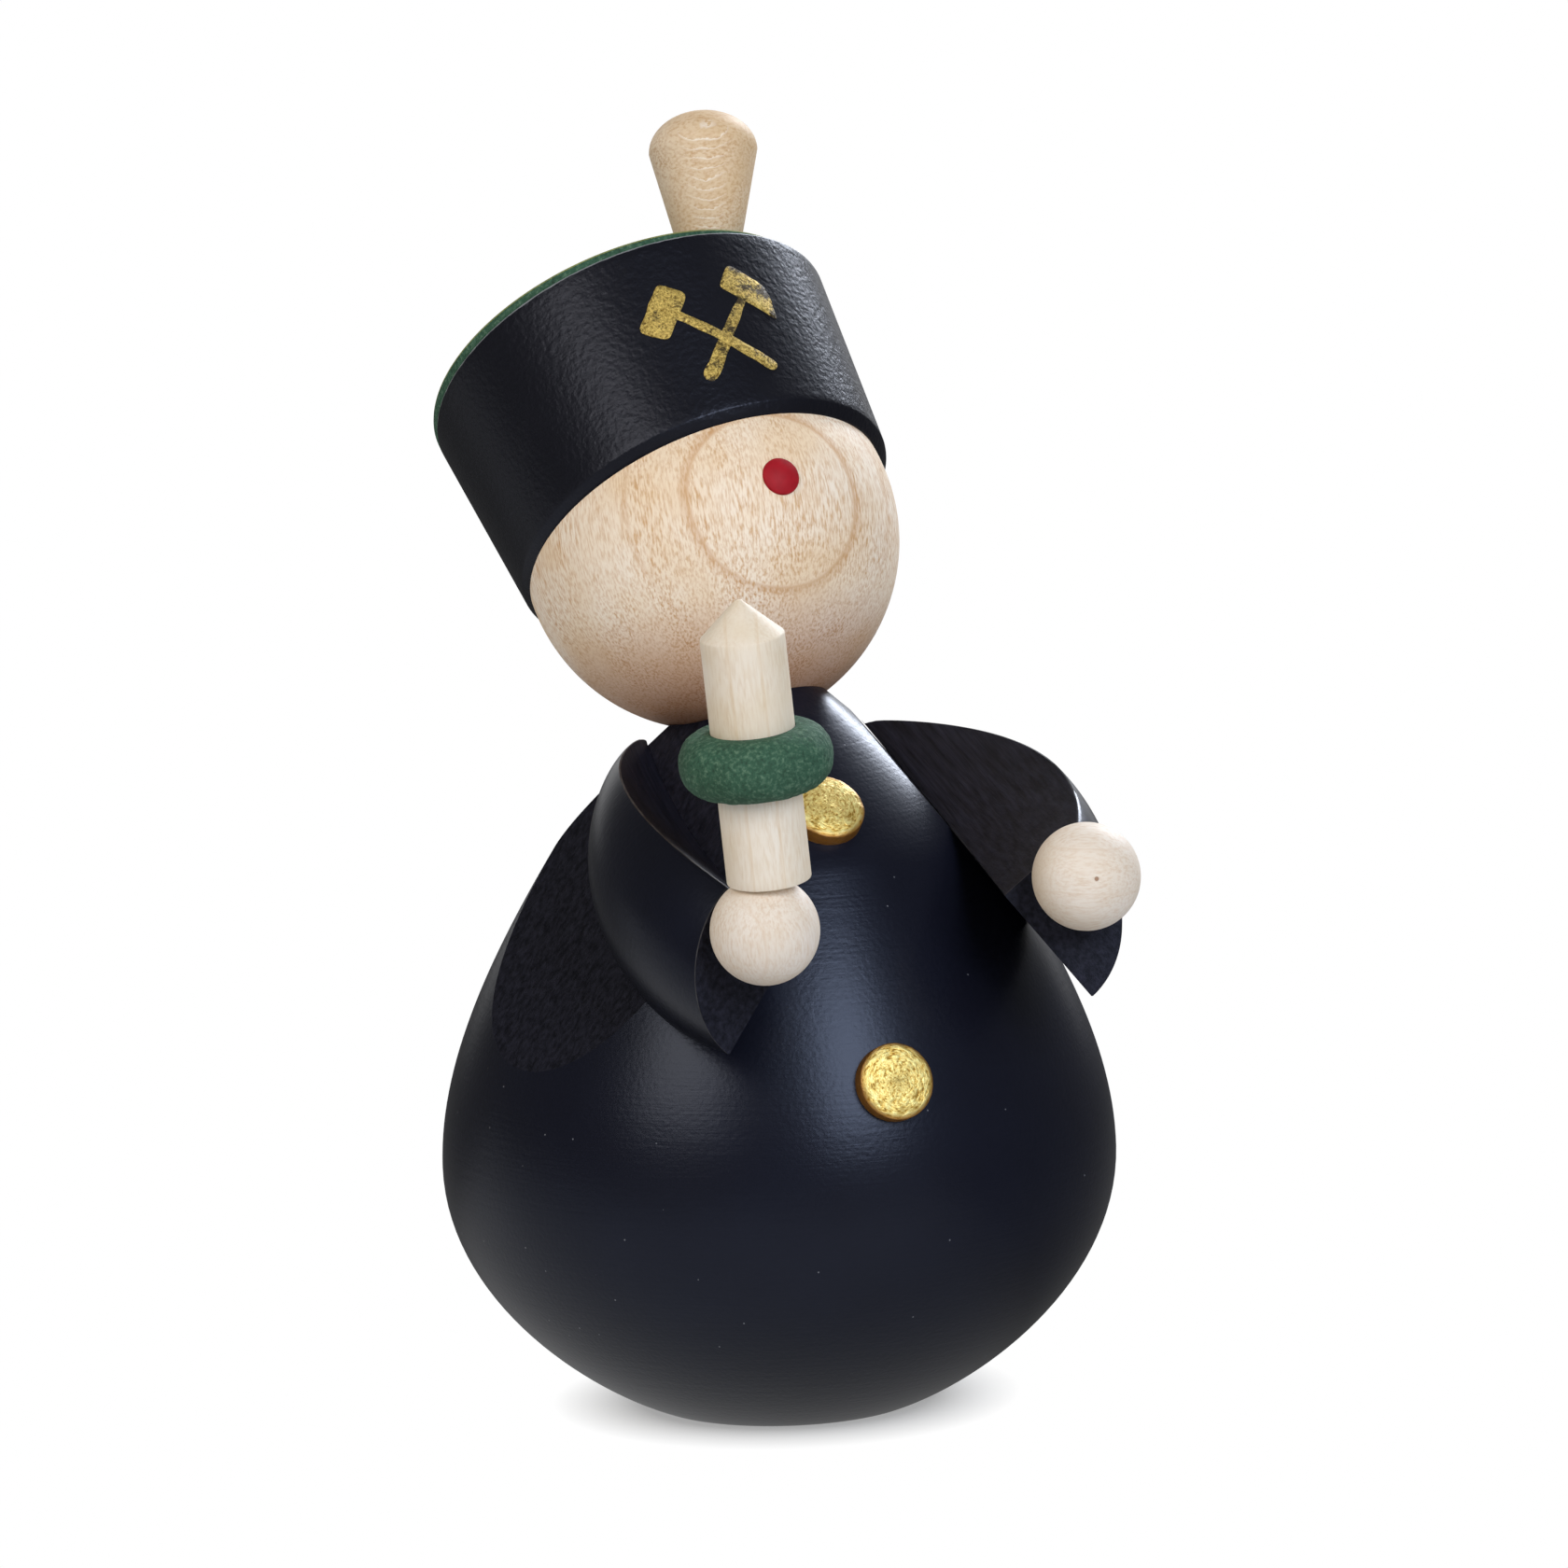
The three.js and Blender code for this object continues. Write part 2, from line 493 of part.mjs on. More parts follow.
// One arm with its shoulder dowel, hand and hand pin; returns the hand's middle in the figure
function arm(side, name, at, below, handOut, handDown) {
  const group = place(figure, at);
  const uphill = along(Y, -side);
  const axisStart = along(X, -SHOULDER_ALONG).addScaledVector(uphill, below);
  axisStart.addScaledVector(Z, SEAT_GAP);

  // Spindle, its outline two half parabolas about the sleeve's axis
  const spindle = [point(0, SLEEVE_PARTING)];
  const partedShare = SLEEVE_PARTING / SLEEVE_HEAD - 1;
  for (let k = 0; k <= SPINDLE_STEPS; k += 1) {
    const share = THREE.MathUtils.lerp(partedShare, 1, k / SPINDLE_STEPS);
    const length = share < 0 ? SLEEVE_HEAD : SLEEVE_TAIL;
    spindle.push(point(SLEEVE_RADIUS * (1 - share ** 2), SLEEVE_HEAD + length * share));
  }
  const sleeve = solid(turned(spindle, SLEEVE_SIDES), frame(axisStart, X, Y));

  // Hollow front face, part of a large drum, and the directions of the cuff's two edges
  const [tilt, slant, rake] = [rad(FACE_TILT), rad(CUFF_SLANT), rad(CUFF_RAKE)];
  const faceOut = along(Z, Math.cos(tilt)).addScaledVector(uphill, Math.sin(tilt));
  const drumMiddle = axisStart.clone().addScaledVector(X, FACE_ALONG);
  drumMiddle.addScaledVector(uphill, FACE_ABOVE + FACE_RADIUS);
  const cuffRise = FACE_ABOVE + FACE_RADIUS - Math.sqrt(FACE_RADIUS ** 2 - (CUFF_AT - FACE_ALONG) ** 2);
  const upperEdge = along(faceOut, Math.cos(rake)).addScaledVector(X, Math.sin(rake));
  const innerEdge = along(uphill, -Math.cos(slant)).addScaledVector(X, Math.sin(slant));
  const cuffNormal = upperEdge.clone().cross(innerEdge).multiplyScalar(-side).normalize();
  const cuffCorner = axisStart.clone().addScaledVector(X, CUFF_AT).addScaledVector(uphill, cuffRise);
  const handSeat = cuffCorner
    .clone()
    .addScaledVector(upperEdge, handOut)
    .addScaledVector(innerEdge, handDown);
  const hand = frame(
    handSeat.clone().addScaledVector(cuffNormal, HAND_RADIUS - HAND_FLAT + SEAT_GAP),
    cuffNormal,
    Z,
  );
  const pinFoot = HAND_FLAT - HAND_RADIUS - SEAT_GAP - HAND_PIN_IN_ARM;
  const pinTop = HAND_FLAT - HAND_RADIUS + HAND_PIN_IN_HAND;
  const pinPlace = spot(hand, ORIGIN).addScaledVector(innerEdge, HAND_PIN_BELOW);
  const pin = hand.clone().setPosition(pinPlace);
  const pinInHand = relative(hand, pin);

  const cut = 2 * (SLEEVE_HEAD + SLEEVE_TAIL);
  const armSolid = sleeve
    .subtract(beyond(along(Z, SEAT_GAP), along(Z, -1), cut))
    .subtract(solid(rod(FACE_RADIUS, -cut, cut, FACE_SIDES), frame(drumMiddle, faceOut, X)))
    .subtract(beyond(cuffCorner, cuffNormal, cut))
    .subtract(solid(rod(SHOULDER_DOWEL_RADIUS + PEG_GAP, 0, SHOULDER_DOWEL_IN_ARM + HOLE_END_GAP)))
    .subtract(solid(rod(HAND_PIN_RADIUS + PEG_GAP, pinFoot - HOLE_END_GAP, pinTop), pin));
  piece(group, `${name}_arm`, armSolid, COAT);
  piece(
    group,
    `${name}_shoulder_dowel`,
    solid(rod(SHOULDER_DOWEL_RADIUS, -SHOULDER_DOWEL_IN_BODY, SHOULDER_DOWEL_IN_ARM)),
    BEECH,
  );

  const handGroup = place(group, hand);
  const handSolid = solid(ball(HAND_RADIUS, BALL_SIDES))
    .subtract(beyond(along(Z, HAND_FLAT - HAND_RADIUS), along(Z, -1), 2 * HAND_RADIUS))
    .subtract(solid(rod(HAND_PIN_RADIUS + PEG_GAP, pinFoot, pinTop + HOLE_END_GAP), pinInHand));
  const pinSolid = solid(rod(HAND_PIN_RADIUS, pinFoot, pinTop));
  piece(place(handGroup, pinInHand), `${name}_hand_pin`, pinSolid, BEECH);
  return { group, handGroup, handSolid, hand: at.clone().multiply(hand) };
}
const right = arm(
  -1,
  'right',
  rightShoulder,
  RIGHT_SHOULDER_BELOW,
  RIGHT_HAND_OUT,
  RIGHT_HAND_DOWN,
);
const left = arm(1, 'left', leftShoulder, LEFT_SHOULDER_BELOW, LEFT_HAND_OUT, LEFT_HAND_DOWN);
piece(left.handGroup, 'left_hand', left.handSolid, MAPLE);

// Candle frame: at the hand's middle, shifted sideways, +Z up the candle
const candleAxis = new THREE.Vector3(
  -Math.tan(rad(CANDLE_SIDE)),
  -Math.tan(rad(CANDLE_FRONT)),
  1,
).normalize();
const handMiddle = spot(right.hand, ORIGIN);
const candleAt = frame(handMiddle, candleAxis, X).multiply(
  new THREE.Matrix4().makeTranslation(CANDLE_SHIFT, 0, 0),
);
const candleInHand = relative(right.hand, candleAt);
const handTop = HAND_RADIUS - CANDLE_FLAT;
const candleFoot = handTop + SEAT_GAP;
const candlePinFoot = handTop - CANDLE_PIN_IN_HAND;
const candlePinTop = candleFoot + CANDLE_PIN_IN_CANDLE;

// Right hand with the flat and the pin hole for the candle
const rightHand = right.handSolid
  .subtract(beyond(spot(candleInHand, along(Z, handTop)), heading(candleInHand, Z), 2 * HAND_RADIUS))
  .subtract(
    solid(rod(CANDLE_PIN_RADIUS + PEG_GAP, candlePinFoot - HOLE_END_GAP, candlePinTop), candleInHand),
  );
piece(right.handGroup, 'right_hand', rightHand, MAPLE);

// Candle: a dowel with a cone for the flame end
const candleGroup = place(right.handGroup, candleInHand);
const candleTip = candleFoot + CANDLE_LENGTH;
const candleOutline = [
  point(0, candleFoot),
  point(CANDLE_RADIUS, candleFoot),
  point(CANDLE_RADIUS, candleTip - CANDLE_POINT),
  point(0, candleTip),
];
const candle = solid(turned(candleOutline, TURNED_SIDES)).subtract(
  solid(rod(CANDLE_PIN_RADIUS + PEG_GAP, candlePinFoot, candlePinTop + HOLE_END_GAP)),
);
piece(candleGroup, 'candle', candle, MAPLE);
piece(candleGroup, 'candle_pin', solid(rod(CANDLE_PIN_RADIUS, candlePinFoot, candlePinTop)), BEECH);

// Drip ring: a plump rounded ring that slides on the candle
const ringBore = CANDLE_RADIUS + PEG_GAP;
const ringMiddle = candleFoot + RING_HEIGHT;
const ringEdge = Math.min(RING_EDGE, RING_THICKNESS / 2, RING_RADIUS - ringBore);
const ringShape = new THREE.Shape();
ringShape.moveTo(ringBore, ringMiddle - RING_THICKNESS / 2);
ringShape.lineTo(RING_RADIUS - ringEdge, ringMiddle - RING_THICKNESS / 2);
ringShape.absarc(
  RING_RADIUS - ringEdge,
  ringMiddle - RING_THICKNESS / 2 + ringEdge,
  ringEdge,
  -Math.PI / 2,
  0,
);
ringShape.absarc(
  RING_RADIUS - ringEdge,
  ringMiddle + RING_THICKNESS / 2 - ringEdge,
  ringEdge,
  0,
  Math.PI / 2,
);
ringShape.lineTo(ringBore, ringMiddle + RING_THICKNESS / 2);
ringShape.closePath();
const ringOutline = ringShape.getPoints(CURVE_STEPS / 2);
ringOutline.push(ringOutline[0].clone());
piece(candleGroup, 'drip_ring', solid(turned(ringOutline, TURNED_SIDES)), STAINED_GREEN);

// Buttons: domed gilt discs with a tenon glued into the coat
const buttonEdge = SEAT_GAP + BUTTON_THICKNESS - BUTTON_DOME;
const buttonOutline = [
  point(0, -BUTTON_TENON_LENGTH),
  point(BUTTON_TENON_RADIUS, -BUTTON_TENON_LENGTH),
  point(BUTTON_TENON_RADIUS, SEAT_GAP),
  point(BUTTON_RADIUS, SEAT_GAP),
  point(BUTTON_RADIUS, buttonEdge),
  ...dome(BUTTON_RADIUS, buttonEdge, BUTTON_DOME, CURVE_STEPS / 2),
];
piece(place(figure, lowerButton), 'lower_button', solid(turned(buttonOutline, TURNED_SIDES)), GOLD);
piece(place(figure, upperButton), 'upper_button', solid(turned(buttonOutline, TURNED_SIDES)), GOLD);

export default figure;
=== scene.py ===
# Candle miner: a small turned and painted wooden figure with a shako, a plume and a candle.
# The sections follow the order in which the figure is put together on the bench.
# Sizes are in millimetres and degrees; the figure faces -Y and its left side is +X.
import functools
import json
import math

import bmesh
import bpy
from mathutils import Matrix, Vector, geometry, noise


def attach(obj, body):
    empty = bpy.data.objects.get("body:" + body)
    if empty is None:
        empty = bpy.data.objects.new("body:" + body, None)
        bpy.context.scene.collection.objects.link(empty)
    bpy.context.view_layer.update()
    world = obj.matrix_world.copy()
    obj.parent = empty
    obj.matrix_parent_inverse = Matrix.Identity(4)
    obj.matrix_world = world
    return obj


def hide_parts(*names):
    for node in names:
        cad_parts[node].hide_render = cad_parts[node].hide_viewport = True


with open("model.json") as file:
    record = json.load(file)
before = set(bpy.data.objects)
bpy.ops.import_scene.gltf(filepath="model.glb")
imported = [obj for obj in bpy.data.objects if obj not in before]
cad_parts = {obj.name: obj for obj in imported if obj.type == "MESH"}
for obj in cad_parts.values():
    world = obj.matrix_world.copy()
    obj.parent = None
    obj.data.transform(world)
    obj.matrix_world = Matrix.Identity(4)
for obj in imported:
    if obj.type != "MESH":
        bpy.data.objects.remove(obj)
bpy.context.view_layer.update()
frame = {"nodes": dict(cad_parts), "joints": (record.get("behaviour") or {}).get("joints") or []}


# Coat
# The body is one block of lime, turned to an egg on a flat base. A flat is sawn on each flank for
# the arms and a dish is scooped out on top for the head, and all of it is sprayed blue-black.
MM = 0.001
BASE_RADIUS = 10.1
FOOT_RISE = 20.7
FOOT_REACH = 5.96
BELLY_RADIUS = 25.15
BELLY_HEIGHT = 18.5
BELLY_REACH_DOWN = 9.48
BELLY_REACH_UP = 7.5
WAIST_RADIUS = 16.04
WAIST_HEIGHT = 42
WAIST_SLOPE = 57.9
WAIST_REACH_DOWN = 9.56
WAIST_REACH_UP = 4.36
TIP_HEIGHT = 57.5
TIP_SLOPE = 46
TIP_REACH = 4.94
COAT_SIDES = 192
COAT_CURVE_POINTS = 30
FLAT_ABOVE_JOINT = 1.25  # the joint's point is the middle of its dowel, inside the body
HEAD_RADIUS = 14.05
HEAD_ABOVE_JOINT = 15.05  # along the neck, from the middle of its dowel
DISH_GAP = 0.08
DISH_SIDES = 96
SLIVER = 0.2  # narrower strips along a saw cut are left out
SCOOP_WELD = 0.05  # closer points along a scooped edge are joined
ON_AXIS = 1e-6  # radius under which an outline's point is on the lathe's axis
SMOOTH_ANGLE = 42  # faces that meet at less look round
SIDES = {"right": -1, "left": 1}  # which way along X


def polar(angle, length):
    """Step of a length in the plane of an outline, at an angle up from outwards."""
    return Vector((math.cos(math.radians(angle)), math.sin(math.radians(angle)))) * length


def turned(outline, sides):
    """Piece turned about +Z from an outline of (radius, height) points."""
    bm = bmesh.new()
    rings = []
    for radius, height in outline:
        count = sides if radius > ON_AXIS else 1
        turns = [2 * math.pi * k / count for k in range(count)]
        corners = [Vector((radius * math.cos(t), radius * math.sin(t), height)) for t in turns]
        rings.append([bm.verts.new(corner * MM) for corner in corners])
    for low, high in zip(rings, rings[1:]):
        for k in range(sides):
            lower = [low[k % len(low)], low[(k + 1) % len(low)]]
            upper = [high[(k + 1) % len(high)], high[k % len(high)]]
            bm.faces.new(list(dict.fromkeys(lower + upper)))
    bmesh.ops.recalc_face_normals(bm, faces=bm.faces)
    return bm


def saw(bm, at, normal, finish):
    """Saws off what lies beyond a plane, and gives the sawn face its own finish."""
    everything = bm.verts[:] + bm.edges[:] + bm.faces[:]
    cut = bmesh.ops.bisect_plane(
        bm, geom=everything, plane_co=at * MM, plane_no=normal, clear_outer=True
    )["geom_cut"]
    kerf = dict.fromkeys(item for item in cut if isinstance(item, bmesh.types.BMVert))
    slivers = {}
    for corner in kerf:
        for edge in corner.link_edges:
            other = edge.other_vert(corner)
            if other not in kerf and edge.calc_length() < SLIVER * MM:
                slivers[other] = corner
    bmesh.ops.weld_verts(bm, targetmap=slivers)
    rim = [edge for edge in bm.edges if edge.is_boundary]
    for face in bmesh.ops.edgeloop_fill(bm, edges=rim)["faces"]:
        face.material_index = finish
    bmesh.ops.recalc_face_normals(bm, faces=bm.faces)


def hollow(bm, cutter):
    """Scoops a closed shape out of a piece."""
    pair = []
    for shape in (bm, cutter):
        mesh = bpy.data.meshes.new("blank")
        shape.to_mesh(mesh)
        shape.free()
        pair.append(bpy.data.objects.new("blank", mesh))
        bpy.context.scene.collection.objects.link(pair[-1])
    blank, tool = pair
    cut = blank.modifiers.new("scoop", "BOOLEAN")
    cut.operation = "DIFFERENCE"
    cut.solver = "EXACT"
    cut.object = tool
    result = bmesh.new()
    result.from_object(blank, bpy.context.evaluated_depsgraph_get())
    for item in pair:
        bpy.data.meshes.remove(item.data)
    bmesh.ops.dissolve_degenerate(result, dist=SCOOP_WELD * MM, edges=result.edges)
    return result


def assemble(name, bm, at, body, finishes, slot, *nodes):
    """Makes the piece, with its finishes, and fixes it to the body that carries it."""
    for face in bm.faces:
        face.smooth = True
    for edge in bm.edges:
        sawn = {face.material_index for face in edge.link_faces} == {0, 1}
        edge.smooth = not sawn and edge.calc_face_angle(0) < math.radians(SMOOTH_ANGLE)
    mesh = bpy.data.meshes.new(name)
    bm.to_mesh(mesh)
    bm.free()
    for finish in finishes:
        mesh.materials.append(finish)
    piece = bpy.data.objects.new(name, mesh)
    bpy.context.scene.collection.objects.link(piece)
    piece.matrix_world = at
    flats = piece.modifiers.new("flat faces", "WEIGHTED_NORMAL")
    flats.keep_sharp = True
    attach(piece, body)
    if nodes:
        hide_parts(*nodes)
    return piece


def colour(code):
    """sRGB hex code as linear colour."""
    shares = [int(code[k : k + 2], 16) / 255 for k in (0, 2, 4)]
    return [s / 12.92 if s <= 0.04045 else ((s + 0.055) / 1.055) ** 2.4 for s in shares] + [1]


def add(tree, kind, inputs, **settings):
    """Adds a node; an input is a value, a hex colour, a socket, or a node for its first live output."""
    node = tree.nodes.new("ShaderNode" + kind)
    for name, value in settings.items():
        setattr(node, name, value)
    for name, value in inputs.items():
        if isinstance(value, str):
            value = colour(value)
        if isinstance(value, bpy.types.Node):
            value = next(output for output in value.outputs if output.enabled)
        if isinstance(value, bpy.types.NodeSocket):
            tree.links.new(value, node.inputs[name])
        else:
            node.inputs[name].default_value = value
    return node


def bare_material(name):
    """New empty material, the function that adds its nodes, and the piece's own coordinates."""
    material = bpy.data.materials.new(name)
    material.use_nodes = True
    material.node_tree.nodes.clear()
    node = functools.partial(add, material.node_tree)
    return material, node, node("TexCoord", {}).outputs["Object"]


def per_mm(size):
    """Scale of a pattern whose marks are a size in millimetres apart."""
    return 1 / (size * MM)


# Sprayed satin paint over turned limewood: nearly black with a blue cast, soft highlights that the
# fine turning lines and the paint's peel break up, and specks of dust in the film.
def sprayed_coat_paint():
    material, node, place_in = bare_material("sprayed_coat_paint")
    cloud = node("TexNoise", {"Vector": place_in, "Scale": per_mm(9), "Detail": 3.0})
    tint = node("Mix", {0: cloud, 6: "0f0f18", 7: "151723"}, data_type="RGBA")
    specks = node("TexVoronoi", {"Vector": place_in, "Scale": per_mm(1.1)})
    speck_size = node("MapRange", {
        "Value": specks.outputs["Distance"], "From Min": 0.04, "From Max": 0.07, "To Min": 1.0,
        "To Max": 0.0,
    })
    side = node("VectorMath", {0: place_in, 1: (-1, -0.25, 0)}, operation="DOT_PRODUCT")
    rarity = node("MapRange", {
        "Value": side, "From Min": 20 * MM, "From Max": 25 * MM, "To Min": 0.92, "To Max": 0.6,
    })
    chance = node("SeparateColor", {0: specks.outputs["Color"]})
    kept = node("Math", {0: chance, 1: rarity}, operation="GREATER_THAN")
    dust = node("Math", {0: speck_size, 1: kept}, operation="MULTIPLY")
    coated = node("Mix", {0: dust, 6: tint, 7: "74767c"}, data_type="RGBA")
    lathe = node("Mapping", {"Vector": place_in, "Scale": (0.04, 0.04, 1.0)})
    lines = node("TexNoise", {"Vector": lathe, "Scale": per_mm(0.3), "Detail": 2.0, "Roughness": 0.6})
    peel = node("TexNoise", {"Vector": place_in, "Scale": per_mm(0.35), "Detail": 2.0})
    line_bump = node("Bump", {"Height": lines, "Strength": 0.4, "Distance": 0.03 * MM})
    peel_bump = node("Bump", {
        "Height": peel, "Strength": 0.5, "Distance": 0.03 * MM, "Normal": line_bump,
    })
    paint = node("BsdfPrincipled", {
        "Base Color": coated, "Roughness": 0.31, "IOR": 1.36, "Specular Tint": "d6e3ff",
        "Normal": peel_bump,
    })
    node("OutputMaterial", {"Surface": paint})
    return material


# The same paint on sawn faces: the spray sinks into the open grain, so the faces are more matt, and
# the grain's ridges show through as fine lines.
def sawn_coat_paint():
    material, node, place_in = bare_material("sawn_coat_paint")
    grain_run = node("Mapping", {"Vector": place_in, "Scale": (1.0, 1.0, 0.05)})
    grain = node("TexNoise", {
        "Vector": grain_run, "Scale": per_mm(0.4), "Detail": 3.0, "Roughness": 0.65,
    })
    lines = node("MapRange", {"Value": grain, "From Min": 0.35, "From Max": 0.68})
    tint = node("Mix", {0: lines, 6: "0a0a11", 7: "22222d"}, data_type="RGBA")
    ridges = node("Bump", {"Height": grain, "Strength": 0.8, "Distance": 0.07 * MM})
    paint = node("BsdfPrincipled", {
        "Base Color": tint, "Roughness": 0.5, "IOR": 1.3, "Specular Tint": "dde6ff", "Normal": ridges,
    })
    node("OutputMaterial", {"Surface": paint})
    return material


# The paint on the sleeves' edges: greyer in patches, partly paint rubbed thin by handling and partly a
# painted highlight along the edges, which are flat strips here and not rounded.
def worn_and_highlit_edge_paint():
    material, node, place_in = bare_material("worn_and_highlit_edge_paint")
    patches = node("TexNoise", {"Vector": place_in, "Scale": per_mm(1.4), "Detail": 4.0})
    # Lighter in patches along the edges: paint rubbed thin, and a painted edge highlight.
    rubbed = node("MapRange", {"Value": patches, "From Min": 0.35, "From Max": 0.7})
    tint = node("Mix", {0: rubbed, 6: "17171d", 7: "47474b"}, data_type="RGBA")
    paint = node("BsdfPrincipled", {"Base Color": tint, "Roughness": 0.45, "IOR": 1.36})
    node("OutputMaterial", {"Surface": paint})
    return material


joints = {joint["name"]: joint for joint in frame["joints"]}
neck_axis = Vector(joints["head_turn"]["axis"])
head_middle = Vector(joints["head_turn"]["pos_m"]) / MM + neck_axis * HEAD_ABOVE_JOINT
flank_normals = {}
flank_middles = {}
for word, side in SIDES.items():
    swing = joints[word + "_arm_swing"]
    outwards = Vector(swing["axis"])
    outwards *= side * math.copysign(1, outwards.x)
    flank_normals[word] = outwards
    flank_middles[word] = Vector(swing["pos_m"]) / MM + outwards * FLAT_ABOVE_JOINT

base_edge = Vector((BASE_RADIUS, 0))
belly = Vector((BELLY_RADIUS, BELLY_HEIGHT))
waist = Vector((WAIST_RADIUS, WAIST_HEIGHT))
tip = Vector((0, TIP_HEIGHT))
coat_curves = (
    (base_edge, polar(FOOT_RISE, FOOT_REACH), polar(-90, BELLY_REACH_DOWN), belly),
    (belly, polar(90, BELLY_REACH_UP), polar(-WAIST_SLOPE, WAIST_REACH_DOWN), waist),
    (waist, polar(180 - WAIST_SLOPE, WAIST_REACH_UP), polar(-TIP_SLOPE, TIP_REACH), tip),
)
coat_outline = [Vector((0, 0)), base_edge]
for start, leave, arrive, end in coat_curves:
    run = geometry.interpolate_bezier(start, start + leave, end + arrive, end, COAT_CURVE_POINTS)
    coat_outline += run[1:]

coat = turned(coat_outline, COAT_SIDES)
half_round = [-90 + 360 * k / DISH_SIDES for k in range(DISH_SIDES // 2 + 1)]
dish = turned([polar(angle, HEAD_RADIUS + DISH_GAP) for angle in half_round], DISH_SIDES)
bmesh.ops.translate(dish, verts=dish.verts, vec=head_middle * MM)
coat = hollow(coat, dish)
for word in SIDES:
    saw(coat, flank_middles[word], flank_normals[word], 1)
# The third finish, on the sleeves' edges, is lighter: worn paint and a painted edge highlight.
coat_finishes = (sprayed_coat_paint(), sawn_coat_paint(), worn_and_highlit_edge_paint())
assemble("coat_body", coat, Matrix(), "trunk", coat_finishes, "coat_paint", "body")


# Head
# A ball of pale maple, sanded and sealed with a thin matt varnish, with a flat on top under the hat.
# It sits in the coat's dish on a beech dowel and turns on it.
HEAD_BACK = 41.9  # tilt of the hat's axis to the back
HEAD_SIDE = 8.7  # and to the figure's right
HEAD_TURN = 7.05  # turn of the face to the figure's left
HEAD_SIDES = 144
HAT_LIFT = 1.1  # hat's lower face above the middle of the head
NOSE_DROP = 17  # below the hat's plane, seen from the middle of the head
NOSE_RADIUS = 1.42
NOSE_DEPTH = 3
SEAT_GAP = 0.04  # between glued faces
YEAR_DARKEST = 0.955  # share of a year's growth where its line is darkest
YEAR_PALE = 0.99  # and where it is pale again


def place(origin, axis, hint):
    """Frame in metres with +Z along an axis and +X as near as can be to a hint."""
    across = axis.cross(hint).normalized()
    columns = (across.cross(axis).normalized(), across, axis.normalized())
    return Matrix.Translation(origin * MM) @ Matrix(columns).transposed().to_4x4()
